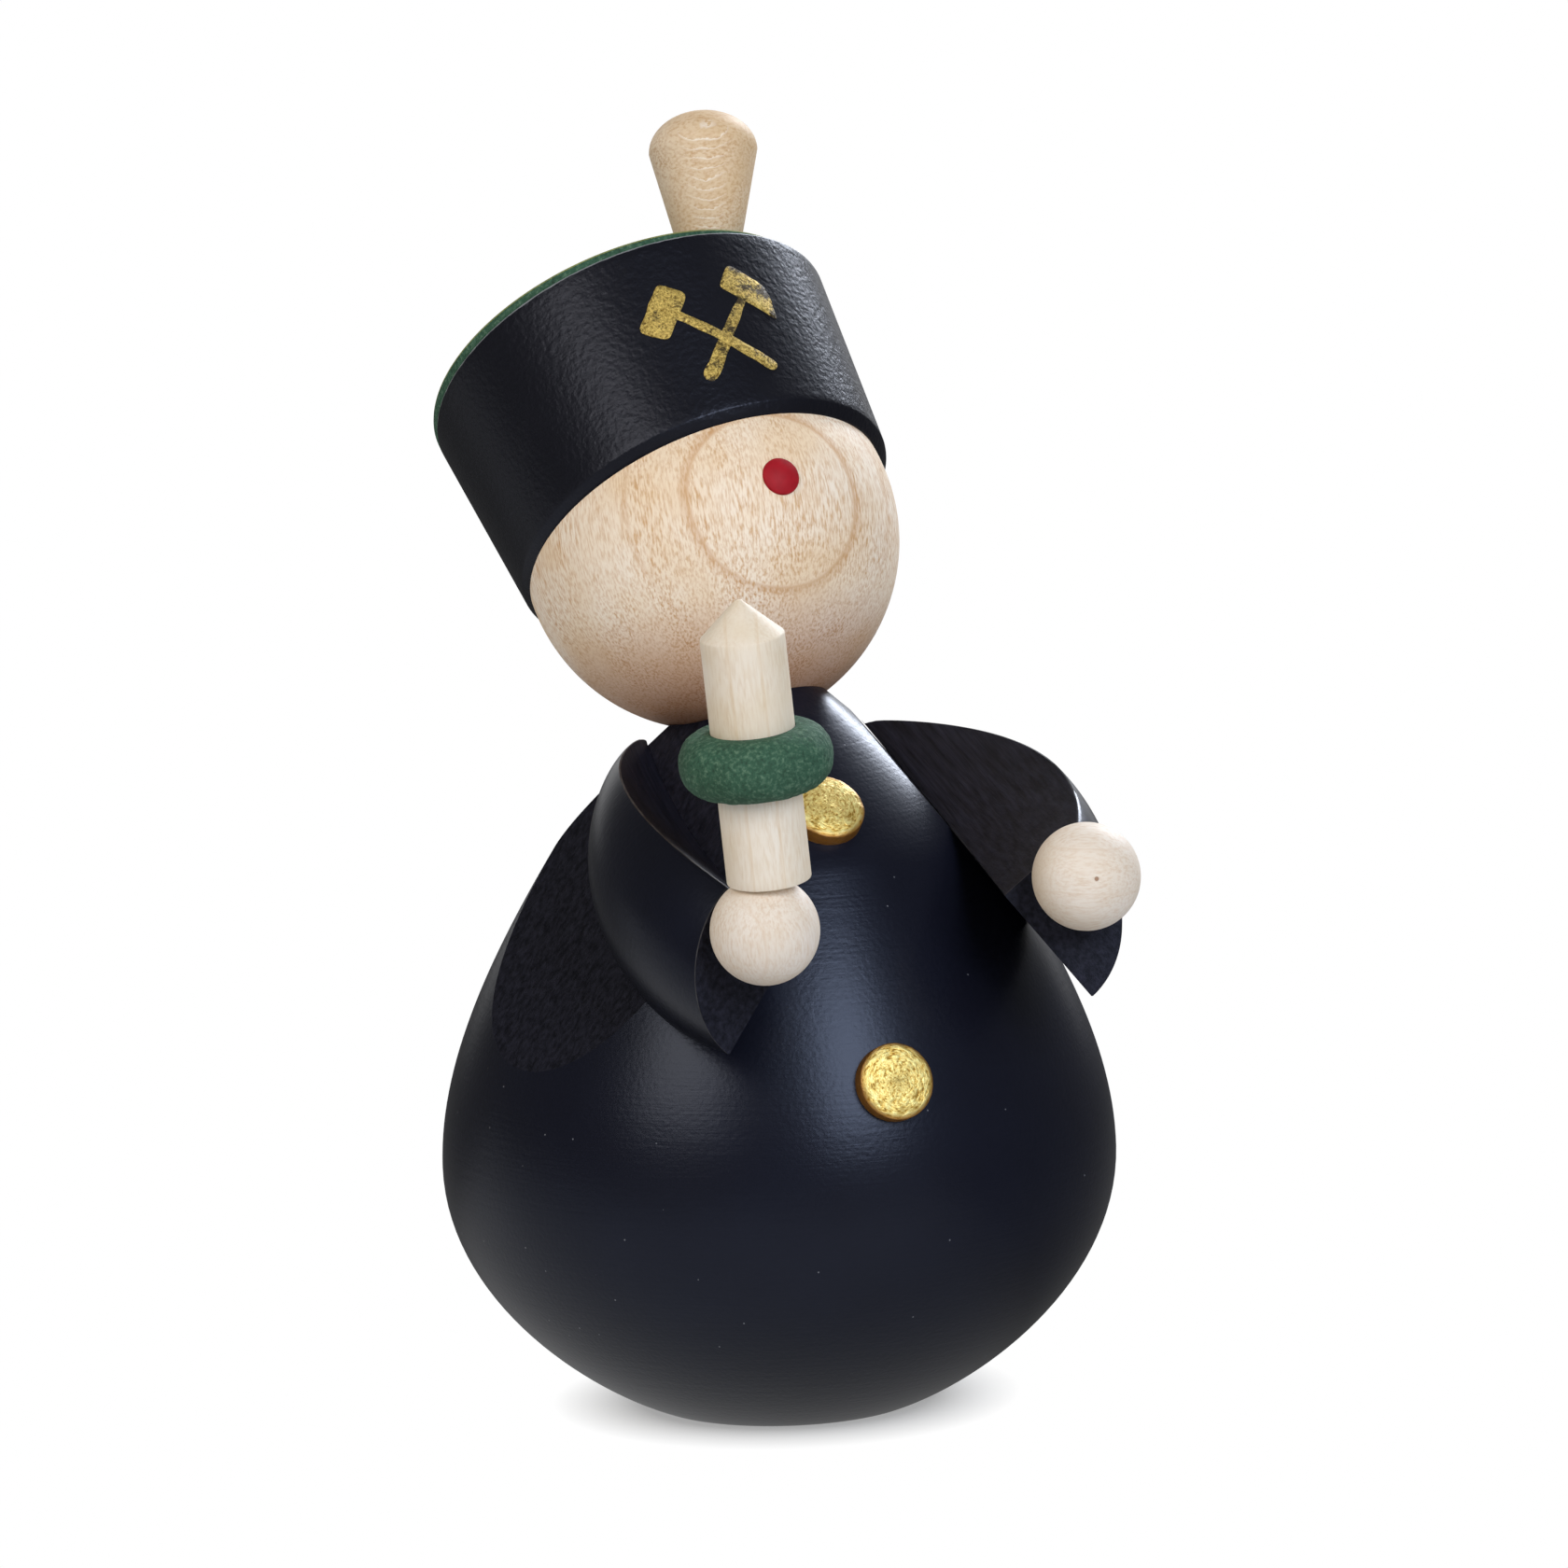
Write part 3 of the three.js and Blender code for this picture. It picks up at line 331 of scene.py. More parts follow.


# Maple, turned and fine-sanded under matt varnish: pale, with short tan fibre marks along the grain in
# denser and sparser bands, and frayed growth lines that draw ovals where a ball cuts them. The lines
# fade where the surface turns away from where they are cut flat. Where the surface faces along the
# grain it is painted browner: partly end grain that soaks up more varnish, and on the head partly
# painted shade on its underside. A piece can show the prick of the lathe's centre.
def sealed_maple(name, wood_run, rings, fibre, colours, end_grain_and_shade=0.0, prick=0.0):
    material, node, place_in = bare_material(name)
    along = wood_run["grain"].normalized()
    outwards = (wood_run["ring_normal"] - along * wood_run["ring_normal"].dot(along)).normalized()
    to_wood = Matrix((outwards, along.cross(outwards), along)).to_euler()
    wood = node("Mapping", {"Vector": place_in, "Rotation": to_wood}).outputs[0]
    fibre_run = node("Mapping", {"Vector": wood, "Scale": (1.0, 1.0, fibre["run"])})
    fibres = node("TexNoise", {
        "Vector": fibre_run, "Scale": per_mm(fibre["size"]), "Detail": 2.0, "Roughness": 0.6,
    })
    band_run = node("Mapping", {"Vector": wood, "Scale": (1.0, 1.0, 0.3)})
    bands = node("TexNoise", {"Vector": band_run, "Scale": per_mm(2.6), "Detail": 2.0})
    cloud = node("TexNoise", {"Vector": wood, "Scale": per_mm(7), "Detail": 3.0})
    warp = node("TexNoise", {"Vector": wood, "Scale": per_mm(rings["waver_size"]), "Detail": 2.0})
    cut_depth = node("VectorMath", {
        0: place_in, 1: wood_run["ring_normal"].normalized(),
    }, operation="DOT_PRODUCT")
    depth = node("Math", {
        0: cut_depth, 1: per_mm(rings["gap"]), 2: rings["start"],
    }, operation="MULTIPLY_ADD")
    wavy = node("Math", {0: warp, 1: rings["waver"], 2: depth}, operation="MULTIPLY_ADD")
    frayed = node("Math", {0: fibres, 1: rings["fray"], 2: wavy}, operation="MULTIPLY_ADD")
    year = node("Math", {0: frayed}, operation="FRACT")
    late = node("MapRange", {
        "Value": year, "From Min": YEAR_DARKEST - rings["width"], "From Max": YEAR_DARKEST,
        "To Max": rings["strength"],
    })
    stop = node("MapRange", {
        "Value": year, "From Min": YEAR_DARKEST, "From Max": YEAR_PALE, "To Min": 1.0, "To Max": 0.0,
    })
    line = node("Math", {0: late, 1: stop}, operation="MULTIPLY")
    skin = node("TexCoord", {}).outputs["Normal"]
    turned_to = node("VectorMath", {0: skin, 1: rings["facing"].normalized()}, operation="DOT_PRODUCT")
    shown = node("MapRange", {
        "Value": turned_to, "From Min": rings["fade"][0], "From Max": rings["fade"][1],
    })
    ring = node("Math", {0: line, 1: shown}, operation="MULTIPLY")
    wide = node("MapRange", {"Value": cloud, "From Min": 0.35, "From Max": 0.65})
    ground = node("Mix", {0: wide, 6: colours["pale"], 7: colours["deep"]}, data_type="RGBA")
    dense = node("MapRange", {
        "Value": bands, "From Min": 0.35, "From Max": 0.65, "To Min": fibre["sparse"],
        "To Max": fibre["dense"],
    })
    marks = node("MapRange", {"Value": fibres, "From Min": 0.42, "From Max": 0.68})
    flecks = node("Math", {0: marks, 1: dense}, operation="MULTIPLY")
    flecked = node("Mix", {0: flecks, 6: ground, 7: colours["fleck"]}, data_type="RGBA")
    finished = node("Mix", {0: ring, 6: flecked, 7: colours["ring"]}, data_type="RGBA")
    # Darker and browner where the surface faces along the grain: end grain soaking up varnish, and on
    # the head painted shade on its underside.
    if end_grain_and_shade:
        cut_across = node("VectorMath", {0: skin, 1: along}, operation="DOT_PRODUCT")
        either_end = node("Math", {0: cut_across}, operation="ABSOLUTE")
        end_grain_soak_and_shade = node("MapRange", {
            "Value": either_end, "From Min": 0.45, "From Max": 0.95, "To Max": end_grain_and_shade,
        })
        finished = node("Mix", {
            0: end_grain_soak_and_shade, 6: finished, 7: "d8b6a8",
        }, data_type="RGBA", blend_type="MULTIPLY")
    if prick:
        axes = node("SeparateXYZ", {0: place_in})
        flat = node("CombineXYZ", {0: axes.outputs["X"], 1: axes.outputs["Y"]})
        off_centre = node("VectorMath", {0: flat}, operation="LENGTH")
        hole = node("MapRange", {
            "Value": off_centre, "From Min": prick * 1.5 * MM, "From Max": prick * MM, "To Max": 0.8,
        })
        finished = node("Mix", {0: hole, 6: finished, 7: "8a5a30"}, data_type="RGBA")
    pores = node("Bump", {"Height": fibres, "Strength": 0.4, "Distance": 0.03 * MM})
    varnish = node("BsdfPrincipled", {
        "Base Color": finished, "Roughness": 0.55, "IOR": 1.4, "Normal": pores,
    })
    node("OutputMaterial", {"Surface": varnish})
    return material


head_tilt = (
    Matrix.Rotation(-math.radians(HEAD_SIDE), 4, "Y")
    @ Matrix.Rotation(-math.radians(HEAD_BACK), 4, "X")
    @ Matrix.Rotation(math.radians(HEAD_TURN), 4, "Z")
)
head_frame = Matrix.Translation(head_middle * MM) @ head_tilt
face_out = Vector((0, -math.cos(math.radians(NOSE_DROP)), -math.sin(math.radians(NOSE_DROP))))
nose_frame = head_frame @ place(Vector(), face_out, Vector((1, 0, 0)))
mouth_of_hole = math.degrees(math.acos(NOSE_RADIUS / HEAD_RADIUS))
ball_outline = [Vector((0, -HEAD_RADIUS))]
for k in range(1, HEAD_SIDES // 2 + 1):
    ball_outline.append(polar(-90 + (mouth_of_hole + 90) * k / (HEAD_SIDES // 2), HEAD_RADIUS))
ball_outline.append(Vector((NOSE_RADIUS, HEAD_RADIUS - NOSE_DEPTH)))
ball_outline.append(Vector((0, HEAD_RADIUS - NOSE_DEPTH)))
head = turned(ball_outline, HEAD_SIDES)
to_nose = nose_frame.inverted() @ head_frame
hat_up = (to_nose.to_3x3() @ Vector((0, 0, 1))).normalized()
saw(head, hat_up * (HAT_LIFT - SEAT_GAP), hat_up, 0)
head_wood = sealed_maple(
    "sealed_maple_head",
    {"ring_normal": Vector((-0.03, -0.1, 1)), "grain": Vector((0.1, 1, 0.1))},
    {
        "gap": 2.9, "start": 0.53, "waver_size": 9, "waver": 0.15, "fray": 0.14, "width": 0.15,
        "strength": 0.55, "facing": Vector((0, 0, 1)), "fade": (0.5, 0.88),
    },
    {"size": 0.16, "run": 0.16, "sparse": 0.5, "dense": 0.95},
    {"pale": "f5e8d6", "deep": "ecd5b6", "fleck": "cb9f6e", "ring": "c08a50"},
    # This darkening at the grain's ends also paints the shade on the head's underside.
    end_grain_and_shade=1.0,
)
assemble("head", head, nose_frame, "head", (head_wood,), "maple", "head_ball")


# Nose
# A beech plug with a slightly domed end, dipped in red paint and glued into the face.
# It stands a little proud of the ball.
NOSE_PROUD = 0.5
NOSE_BULGE = 0.3
NOSE_EDGE = 0.18
NOSE_SIDES = 48
ARC_POINTS = 8


# Dipped paint: deep red, dried nearly matt, a little uneven where it ran down the end.
def dipped_red_paint():
    material, node, place_in = bare_material("dipped_red_paint")
    cloud = node("TexNoise", {"Vector": place_in, "Scale": per_mm(0.7), "Detail": 3.0})
    tint = node("Mix", {0: cloud, 6: "8c0b19", 7: "ae1323"}, data_type="RGBA")
    drag = node("Bump", {"Height": cloud, "Strength": 0.15, "Distance": 0.1 * MM})
    paint = node("BsdfPrincipled", {"Base Color": tint, "Roughness": 0.55, "IOR": 1.3, "Normal": drag})
    node("OutputMaterial", {"Surface": paint})
    return material


def arc(middle, radius, start, end, points=ARC_POINTS):
    """Points of an outline along an arc, from one angle to another."""
    return [middle + polar(start + (end - start) * k / points, radius) for k in range(points + 1)]


nose_brim = HEAD_RADIUS + NOSE_PROUD - NOSE_BULGE - NOSE_EDGE
nose_outline = [Vector((0, HEAD_RADIUS - NOSE_DEPTH)), Vector((NOSE_RADIUS, HEAD_RADIUS - NOSE_DEPTH))]
nose_outline += arc(Vector((NOSE_RADIUS - NOSE_EDGE, nose_brim)), NOSE_EDGE, 0, 60)
nose_crown = nose_outline[-1]
for k in range(1, ARC_POINTS + 1):
    share = 1 - k / ARC_POINTS
    rise = (HEAD_RADIUS + NOSE_PROUD - nose_crown.y) * (1 - share**2)
    nose_outline.append(Vector((nose_crown.x * share, nose_crown.y + rise)))
nose = turned(nose_outline, NOSE_SIDES)
assemble("nose", nose, nose_frame, "head", (dipped_red_paint(),), "red_paint", "nose_plug")


# Shako
# A truncated cone of lime, a little wider at the top, with a bevelled lower edge. It is sprayed
# black, thick enough for a leathery orange peel, and glued on the head's flat.
HAT_SHIFT = 0.3  # hat's axis off the middle of the head, to the figure's left
HAT_HEIGHT = 15.75
HAT_LOWER_RADIUS = 14.65
HAT_UPPER_RADIUS = 15.7
HAT_LOWER_BEVEL = 0.7
HAT_LOWER_BEVEL_RISE = 0.75
HAT_UPPER_ROUND = 0.2
HAT_EASE = 0.1
HAT_WORN = 0.1  # height of the rubbed upper edge
HAT_SIDES = 192
HAT_ROWS = 24
EDGE_ANGLE = 32  # edges that turn by more are eased
EASE_STEPS = 2


def ease_edges(bm, width):
    """Rounds the sharp edges of a piece by a small width."""
    limit = math.radians(EDGE_ANGLE)
    sharp = [edge for edge in bm.edges if edge.is_manifold and edge.calc_face_angle() > limit]
    bmesh.ops.bevel(
        bm, geom=sharp, offset=width * MM, segments=EASE_STEPS, profile=0.5, affect="EDGES",
        clamp_overlap=True,
    )


# Thick sprayed paint on the hat: black, with the soft pebbled skin of orange peel in the highlights
# and the upper edge worn to grey.
def pebbled_hat_paint(worn_height):
    material, node, place_in = bare_material("pebbled_hat_paint")
    cloud = node("TexNoise", {"Vector": place_in, "Scale": per_mm(7), "Detail": 3.0})
    tint = node("Mix", {0: cloud, 6: "0e0e13", 7: "15151b"}, data_type="RGBA")
    axes = node("SeparateXYZ", {0: place_in})
    rub = node("TexNoise", {"Vector": place_in, "Scale": per_mm(1.2), "Detail": 4.0})
    rubbed = node("Math", {0: rub, 1: 0.2 * MM, 2: axes.outputs["Z"]}, operation="MULTIPLY_ADD")
    worn = node("MapRange", {
        "Value": rubbed, "From Min": worn_height * MM, "From Max": (worn_height + 0.06) * MM,
        "To Max": 0.8,
    })
    edged = node("Mix", {0: worn, 6: tint, 7: "8e9296"}, data_type="RGBA")
    pebbles = node("TexNoise", {"Vector": place_in, "Scale": per_mm(0.45), "Detail": 2.5})
    peel = node("Bump", {"Height": pebbles, "Strength": 0.65, "Distance": 0.09 * MM})
    paint = node("BsdfPrincipled", {
        "Base Color": edged, "Roughness": 0.36, "IOR": 1.36, "Specular Tint": "dde6ff", "Normal": peel,
    })
    node("OutputMaterial", {"Surface": paint})
    return material


hat_frame = head_frame @ Matrix.Translation(Vector((HAT_SHIFT, 0, 0)) * MM)
hat_top = HAT_LIFT + HAT_HEIGHT
hat_outline = [Vector((0, HAT_LIFT)), Vector((HAT_LOWER_RADIUS - HAT_LOWER_BEVEL, HAT_LIFT))]
brim = Vector((HAT_LOWER_RADIUS, HAT_LIFT + HAT_LOWER_BEVEL_RISE))
shoulder = Vector((HAT_UPPER_RADIUS, hat_top - HAT_UPPER_ROUND))
hat_outline += [brim.lerp(shoulder, k / HAT_ROWS) for k in range(HAT_ROWS)]
hat_outline += arc(shoulder - Vector((HAT_UPPER_ROUND, 0)), HAT_UPPER_ROUND, 0, 90)
hat_outline.append(Vector((0, hat_top)))
hat = turned(hat_outline, HAT_SIDES)
ease_edges(hat, HAT_EASE)
hat_paint = pebbled_hat_paint(hat_top - HAT_WORN)
assemble("hat", hat, hat_frame, "head", (hat_paint,), "hat_paint", "hat_crown")


# Top disc
# A thin disc of lime veneer, stained green in a water bath and glued on the shako.
# Its upper edge is rubbed to olive.
DISC_INSET = 0.35
DISC_THICKNESS = 0.95
DISC_EASE = 0.22
DISC_BACK = 0.4  # glued on by eye, a little off the hat's middle
DISC_RIGHT = 0.2
DISC_BEVEL_RISE = (0.2, 0.98)  # upward part of the normal on the rubbed upper edge


# Water-stained lime: the green soaks in unevenly, and the wet raises a fine matt fuzz of fibres
# with paler tips.
def green_water_stain(name, thin, full, tip):
    material, node, place_in = bare_material(name)
    fuzz = node("TexNoise", {
        "Vector": place_in, "Scale": per_mm(0.3), "Detail": 4.0, "Roughness": 0.65,
    })
    cloud = node("TexNoise", {"Vector": place_in, "Scale": per_mm(2.5), "Detail": 2.0})
    soaked = node("Mix", {0: cloud, 6: full, 7: thin}, data_type="RGBA")
    tips = node("MapRange", {"Value": fuzz, "From Min": 0.5, "From Max": 0.75, "To Max": 0.5})
    raised = node("Mix", {0: tips, 6: soaked, 7: tip}, data_type="RGBA")
    pits = node("MapRange", {
        "Value": fuzz, "From Min": 0.28, "From Max": 0.45, "To Min": 0.7, "To Max": 0.0,
    })
    pitted = node("Mix", {0: pits, 6: raised, 7: "14241a"}, data_type="RGBA")
    nap = node("Bump", {"Height": fuzz, "Strength": 0.8, "Distance": 0.12 * MM})
    stain = node("BsdfPrincipled", {"Base Color": pitted, "Roughness": 0.8, "IOR": 1.45, "Normal": nap})
    node("OutputMaterial", {"Surface": stain})
    return material


disc_radius = HAT_UPPER_RADIUS - DISC_INSET
disc_foot = hat_top + SEAT_GAP
disc_top = disc_foot + DISC_THICKNESS
disc_outline = [Vector((0, disc_foot)), Vector((disc_radius, disc_foot))]
disc_outline += [Vector((disc_radius, disc_top)), Vector((0, disc_top))]
disc = turned(disc_outline, HAT_SIDES)
ease_edges(disc, DISC_EASE)
disc.normal_update()
for face in disc.faces:
    face.material_index = int(DISC_BEVEL_RISE[0] < face.normal.z < DISC_BEVEL_RISE[1])
disc_frame = hat_frame @ Matrix.Translation(Vector((-DISC_RIGHT, DISC_BACK, 0)) * MM)
green_stain = green_water_stain("green_water_stain", "35604a", "21432f", "7f9f82")
olive_edge = green_water_stain("green_stain_rubbed_edge", "8a8f52", "6c7842", "b2b27c")
assemble("hat_disc", disc, disc_frame, "head", (green_stain, olive_edge), "green_stain", "hat_top_disc")


# Plume
# A flared maple peg with a domed end, turned across the grain of a small blank, its foot sawn to
# the slope of the disc and glued on with a tenon at the front of the hat.
PLUME_SEAT_RADIUS = 10.4
PLUME_AROUND = 24.8
PLUME_LEAN = 26
PLUME_FOOT_RADIUS = 1.95
PLUME_RADIUS = 4.08
PLUME_FLARE_LENGTH = 9.1
PLUME_CAP_LENGTH = 3.05
PLUME_SIDES = 96
PLUME_ROWS = 24

around = math.radians(PLUME_AROUND)
lean = math.radians(PLUME_LEAN)
plume_out = Vector((math.sin(around), -math.cos(around), 0))
plume_axis = Vector((0, 0, math.cos(lean))) + plume_out * math.sin(lean)
plume_seat = plume_out * PLUME_SEAT_RADIUS + Vector((0, 0, disc_top))
plume_frame = hat_frame @ place(plume_seat, plume_axis, Vector((1, 0, 0)))
flare = (PLUME_RADIUS - PLUME_FOOT_RADIUS) / PLUME_FLARE_LENGTH
plume_foot = -PLUME_FOOT_RADIUS
plume_outline = [Vector((0, plume_foot))]
for k in range(PLUME_ROWS + 1):
    rise = plume_foot + (PLUME_FLARE_LENGTH - plume_foot) * k / PLUME_ROWS
    plume_outline.append(Vector((PLUME_FOOT_RADIUS + flare * rise, rise)))
for k in range(1, PLUME_ROWS + 1):
    bow = math.radians(90 * k / PLUME_ROWS)
    cap = Vector((PLUME_RADIUS * math.cos(bow), PLUME_FLARE_LENGTH + PLUME_CAP_LENGTH * math.sin(bow)))
    plume_outline.append(cap if k < PLUME_ROWS else Vector((0, cap.y)))
plume = turned(plume_outline, PLUME_SIDES)
disc_down = (plume_frame.inverted() @ hat_frame).to_3x3() @ Vector((0, 0, -1))
saw(plume, disc_down * -SEAT_GAP, disc_down, 0)
plume_wood = sealed_maple(
    "sealed_maple_plume",
    {"ring_normal": Vector((-0.4, -0.95, 0.6)), "grain": Vector((1, -0.4, 0.1))},
    {
        "gap": 0.5, "start": 0.2, "waver_size": 1.8, "waver": 1.2, "fray": 0.4, "width": 0.2,
        "strength": 0.8, "facing": Vector((-0.4, -0.95, 0.1)), "fade": (0.82, 0.97),
    },
    {"size": 0.2, "run": 0.6, "sparse": 0.3, "dense": 0.8},
    {"pale": "e8d6bc", "deep": "d9be98", "fleck": "c09464", "ring": "f4ece0"},
)
assemble("plume_peg", plume, plume_frame, "head", (plume_wood,), "maple", "plume")


# Emblem
# A hammer crossed over a pick, brushed on the front of the shako by hand in gold bronze paint,
# with soft uneven edges and thin places where the black shows through.
EMBLEM_STEP = 0.3  # fineness of the painted film
EMBLEM_FILM = 0.06
EMBLEM_WAVER = 0.18  # unsteadiness of the brushed edge
EMBLEM_WAVES = 1.7  # of that, per mm
EMBLEM_SEED = 1795705973  # gives the same edge at every run
EMBLEM_HEAPS = 2.2  # thick and thin spots of the film, per mm
EMBLEM_SOFTENING = 3  # rounds the brush gives to corners
HAMMER_HEAD = ((-3.7, 12.2), (-1.9, 10.8), (-3.3, 8.9), (-4.6, 7.5), (-6.4, 9.0), (-5.2, 10.4))
HAMMER_HANDLE = ((-3.3, 9.4), (2.4, 3.8))
HAMMER_HANDLE_WIDTHS = (0.75, 0.95)
PICK_HEAD = ((0.8, 10.9), (2.3, 12.9), (4.9, 10.7), (4.8, 7.7), (2.5, 9.5))
PICK_HANDLE = ((2.4, 9.8), (-2.6, 3.8))
PICK_HANDLE_WIDTHS = (0.7, 1.2)


# Brushed bronze paint: metal flakes in a thin film, grainy and bright where it is thick and nearly
# black where the brush left little, which is more towards one side.
def brushed_bronze_paint(name, cover, thinning):
    material, node, place_in = bare_material(name)
    grit = node("TexNoise", {
        "Vector": place_in, "Scale": per_mm(0.2), "Detail": 4.0, "Roughness": 0.75,
    })
    strokes = node("TexNoise", {"Vector": place_in, "Scale": per_mm(1.1), "Detail": 3.0})
    axes = node("SeparateXYZ", {0: place_in})
    spent = node("MapRange", {
        "Value": axes.outputs["X"], "From Min": 1 * MM, "From Max": 5 * MM, "To Max": -thinning,
    })
    pressed = node("Math", {0: strokes, 1: spent}, operation="ADD")
    thick = node("Math", {0: grit, 1: 0.6, 2: pressed}, operation="MULTIPLY_ADD")
    flakes = node("MapRange", {"Value": grit, "From Min": 0.36, "From Max": 0.64})
    metal = node("Mix", {0: flakes, 6: "7c5e1a", 7: "f0d478"}, data_type="RGBA")
    covered = node("MapRange", {"Value": thick, "From Min": cover - 0.1, "From Max": cover + 0.06})
    film = node("Mix", {0: covered, 6: "40320f", 7: metal}, data_type="RGBA")
    shine = node("MapRange", {"Value": covered, "To Min": 0.25, "To Max": 0.6})
    relief = node("Bump", {"Height": grit, "Strength": 0.8, "Distance": 0.12 * MM})
    paint = node("BsdfPrincipled", {
        "Base Color": film, "Metallic": shine, "Roughness": 0.42, "Normal": relief,
    })
    node("OutputMaterial", {"Surface": paint})
    return material


def stroke(ends, widths):
    """Outline of a handle, one brush stroke with round ends that widens as the brush is pressed."""
    start, end = map(Vector, ends)
    run = (end - start).normalized()
    side = Vector((-run.y, run.x))
    half_turn = [math.radians(180 * k / ARC_POINTS) for k in range(ARC_POINTS + 1)]
    near = [start + (side * math.cos(t) - run * math.sin(t)) * widths[0] / 2 for t in half_turn]
    far = [end - (side * math.cos(t) - run * math.sin(t)) * widths[1] / 2 for t in half_turn]
    return near + far


def brush_on(outlines, lift):
    """Thin painted film of some overlapping outlines of (arc, height) points, wrapped on the hat."""
    bm = bmesh.new()
    for layer, outline in enumerate(outlines):
        edge = []
        for a, b in zip(outline, outline[1:] + outline[:1]):
            steps = max(1, round((b - a).length / EMBLEM_STEP))
            for k in range(steps):
                spot = a.lerp(b, k / steps)
                waver = noise.noise_vector(Vector((spot.x, spot.y, layer)) * EMBLEM_WAVES)
                edge.append(spot + (waver * EMBLEM_WAVER).to_2d())
        for _ in range(EMBLEM_SOFTENING):
            before, after = edge[-1:] + edge[:-1], edge[1:] + edge[:1]
            edge = [(a + b * 2 + c) / 4 for a, b, c in zip(before, edge, after)]
        film = bmesh.new()
        film.faces.new([film.verts.new((p.x, p.y, 0)) for p in edge])
        for axis in (0, 1):
            low = min(p[axis] for p in edge)
            high = max(p[axis] for p in edge)
            for k in range(1, int((high - low) / EMBLEM_STEP) + 1):
                line = Vector((0, 0, 0))
                line[axis] = low + k * EMBLEM_STEP
                normal = Vector((0, 0, 0))
                normal[axis] = 1
                everything = film.verts[:] + film.edges[:] + film.faces[:]
                bmesh.ops.bisect_plane(film, geom=everything, plane_co=line, plane_no=normal)
        rim = {vert for edge in film.edges if edge.is_boundary for vert in edge.verts}
        for vert in film.verts:
            heap = EMBLEM_FILM * (1 + 0.5 * noise.noise(vert.co * EMBLEM_HEAPS))
            vert.co.z = lift + layer * EMBLEM_FILM / 2 + (0 if vert in rim else heap)
        under = bmesh.ops.extrude_face_region(film, geom=film.faces[:])["geom"]
        for vert in (item for item in under if isinstance(item, bmesh.types.BMVert)):
            vert.co.z = -EMBLEM_FILM
        mesh = bpy.data.meshes.new("film")
        film.to_mesh(mesh)
        film.free()
        bm.from_mesh(mesh)
        bpy.data.meshes.remove(mesh)
    for vert in bm.verts:
        along_side = (vert.co.y - HAT_LOWER_BEVEL_RISE) / (HAT_HEIGHT - HAT_LOWER_BEVEL_RISE)
        radius = HAT_LOWER_RADIUS + (HAT_UPPER_RADIUS - HAT_LOWER_RADIUS) * along_side
        turn = vert.co.x / radius
        out = radius + vert.co.z
        vert.co = Vector((out * math.sin(turn), -out * math.cos(turn), HAT_LIFT + vert.co.y)) * MM
    bmesh.ops.recalc_face_normals(bm, faces=bm.faces)
    return bm


noise.seed_set(EMBLEM_SEED)
pick_strokes = [stroke(PICK_HANDLE, PICK_HANDLE_WIDTHS), list(map(Vector, PICK_HEAD))]
hammer_strokes = [stroke(HAMMER_HANDLE, HAMMER_HANDLE_WIDTHS), list(map(Vector, HAMMER_HEAD))]
pick_paint = brushed_bronze_paint("brushed_bronze_pick", 0.73, 0.07)
hammer_paint = brushed_bronze_paint("brushed_bronze_hammer", 0.68, 0.0)
pick = brush_on(pick_strokes, 0.0)
assemble("emblem_pick", pick, hat_frame, "head", (pick_paint,), "gold_paint")
hammer = brush_on(hammer_strokes, EMBLEM_FILM)
assemble("emblem_hammer", hammer, hat_frame, "head", (hammer_paint,), "gold_paint")


# Sleeves
# Each sleeve is sawn from a turned lime spindle: the back to lie on the flank, a hollow front face
# and a slanted cuff for the hand. It is sprayed like the coat and pinned to the flank on a dowel.
SLEEVE_RADIUS = 8.97
SLEEVE_HEAD = 21.6
SLEEVE_TAIL = 22.65
SLEEVE_PARTING = {"right": 0.85, "left": 0.25}  # from the spindle's point to the parted end
SLEEVE_ROWS = 64
SLEEVE_STRIPS = {"round": 48, "back": 6, "front": 8}
# The rubbed edges are painted lighter: worn paint and a painted edge highlight.
SLEEVE_EDGE = 0.1  # width of the rubbed edges
SLEEVE_TIP_EDGE = 0.3  # and near the point, as a share of the face's width there
FACE_RADIUS = 77
FACE_ABOVE = 0.19
FACE_ALONG = 9.65
FACE_TILT = -1.6
CUFF_AT = 31.6
CUFF_SLANT = 28.6
CUFF_RAKE = -7
CUFF_PRECISION = 1e-6
SHOULDER_ALONG = 13.37
SHOULDER_BELOW = {"right": 3.51, "left": 2.81}
ARM_GAP = 0.015  # between the sleeve's back and the flank
ARM_DROOP = {"right": 31, "left": 26}


def on_sleeve(strip, share, along):
    """Point of the sleeve as (uphill, outwards, along): how far round one of its three sides."""
    reach = along - SLEEVE_HEAD
    radius = SLEEVE_RADIUS * (1 - (reach / (SLEEVE_HEAD if reach < 0 else SLEEVE_TAIL)) ** 2)
    lean = math.tan(math.radians(FACE_TILT))
    hollow_rise = math.sqrt(FACE_RADIUS**2 - (along - FACE_ALONG) ** 2)
    foot = FACE_ABOVE + FACE_RADIUS - hollow_rise * math.sqrt(1 + lean**2)
    spread = (radius**2 - foot**2) * (1 + lean**2) + (foot * lean) ** 2
    brow = (math.sqrt(max(spread, 0)) - foot * lean) / (1 + lean**2)
    brow_angle = math.atan2(brow, foot + brow * lean)
    edge = min(SLEEVE_EDGE, SLEEVE_TIP_EDGE * brow)
    if strip == "round":
        margin = edge / radius
        turn = brow_angle + margin + (math.pi - brow_angle - 2 * margin) * share
        return Vector((radius * math.cos(turn), radius * math.sin(turn), along))
    if strip == "back":
        return Vector((edge - radius + (foot + radius - 2 * edge) * share, 0, along))
    out = edge + (brow - 2 * edge) * share
    return Vector((foot + out * lean, out, along))


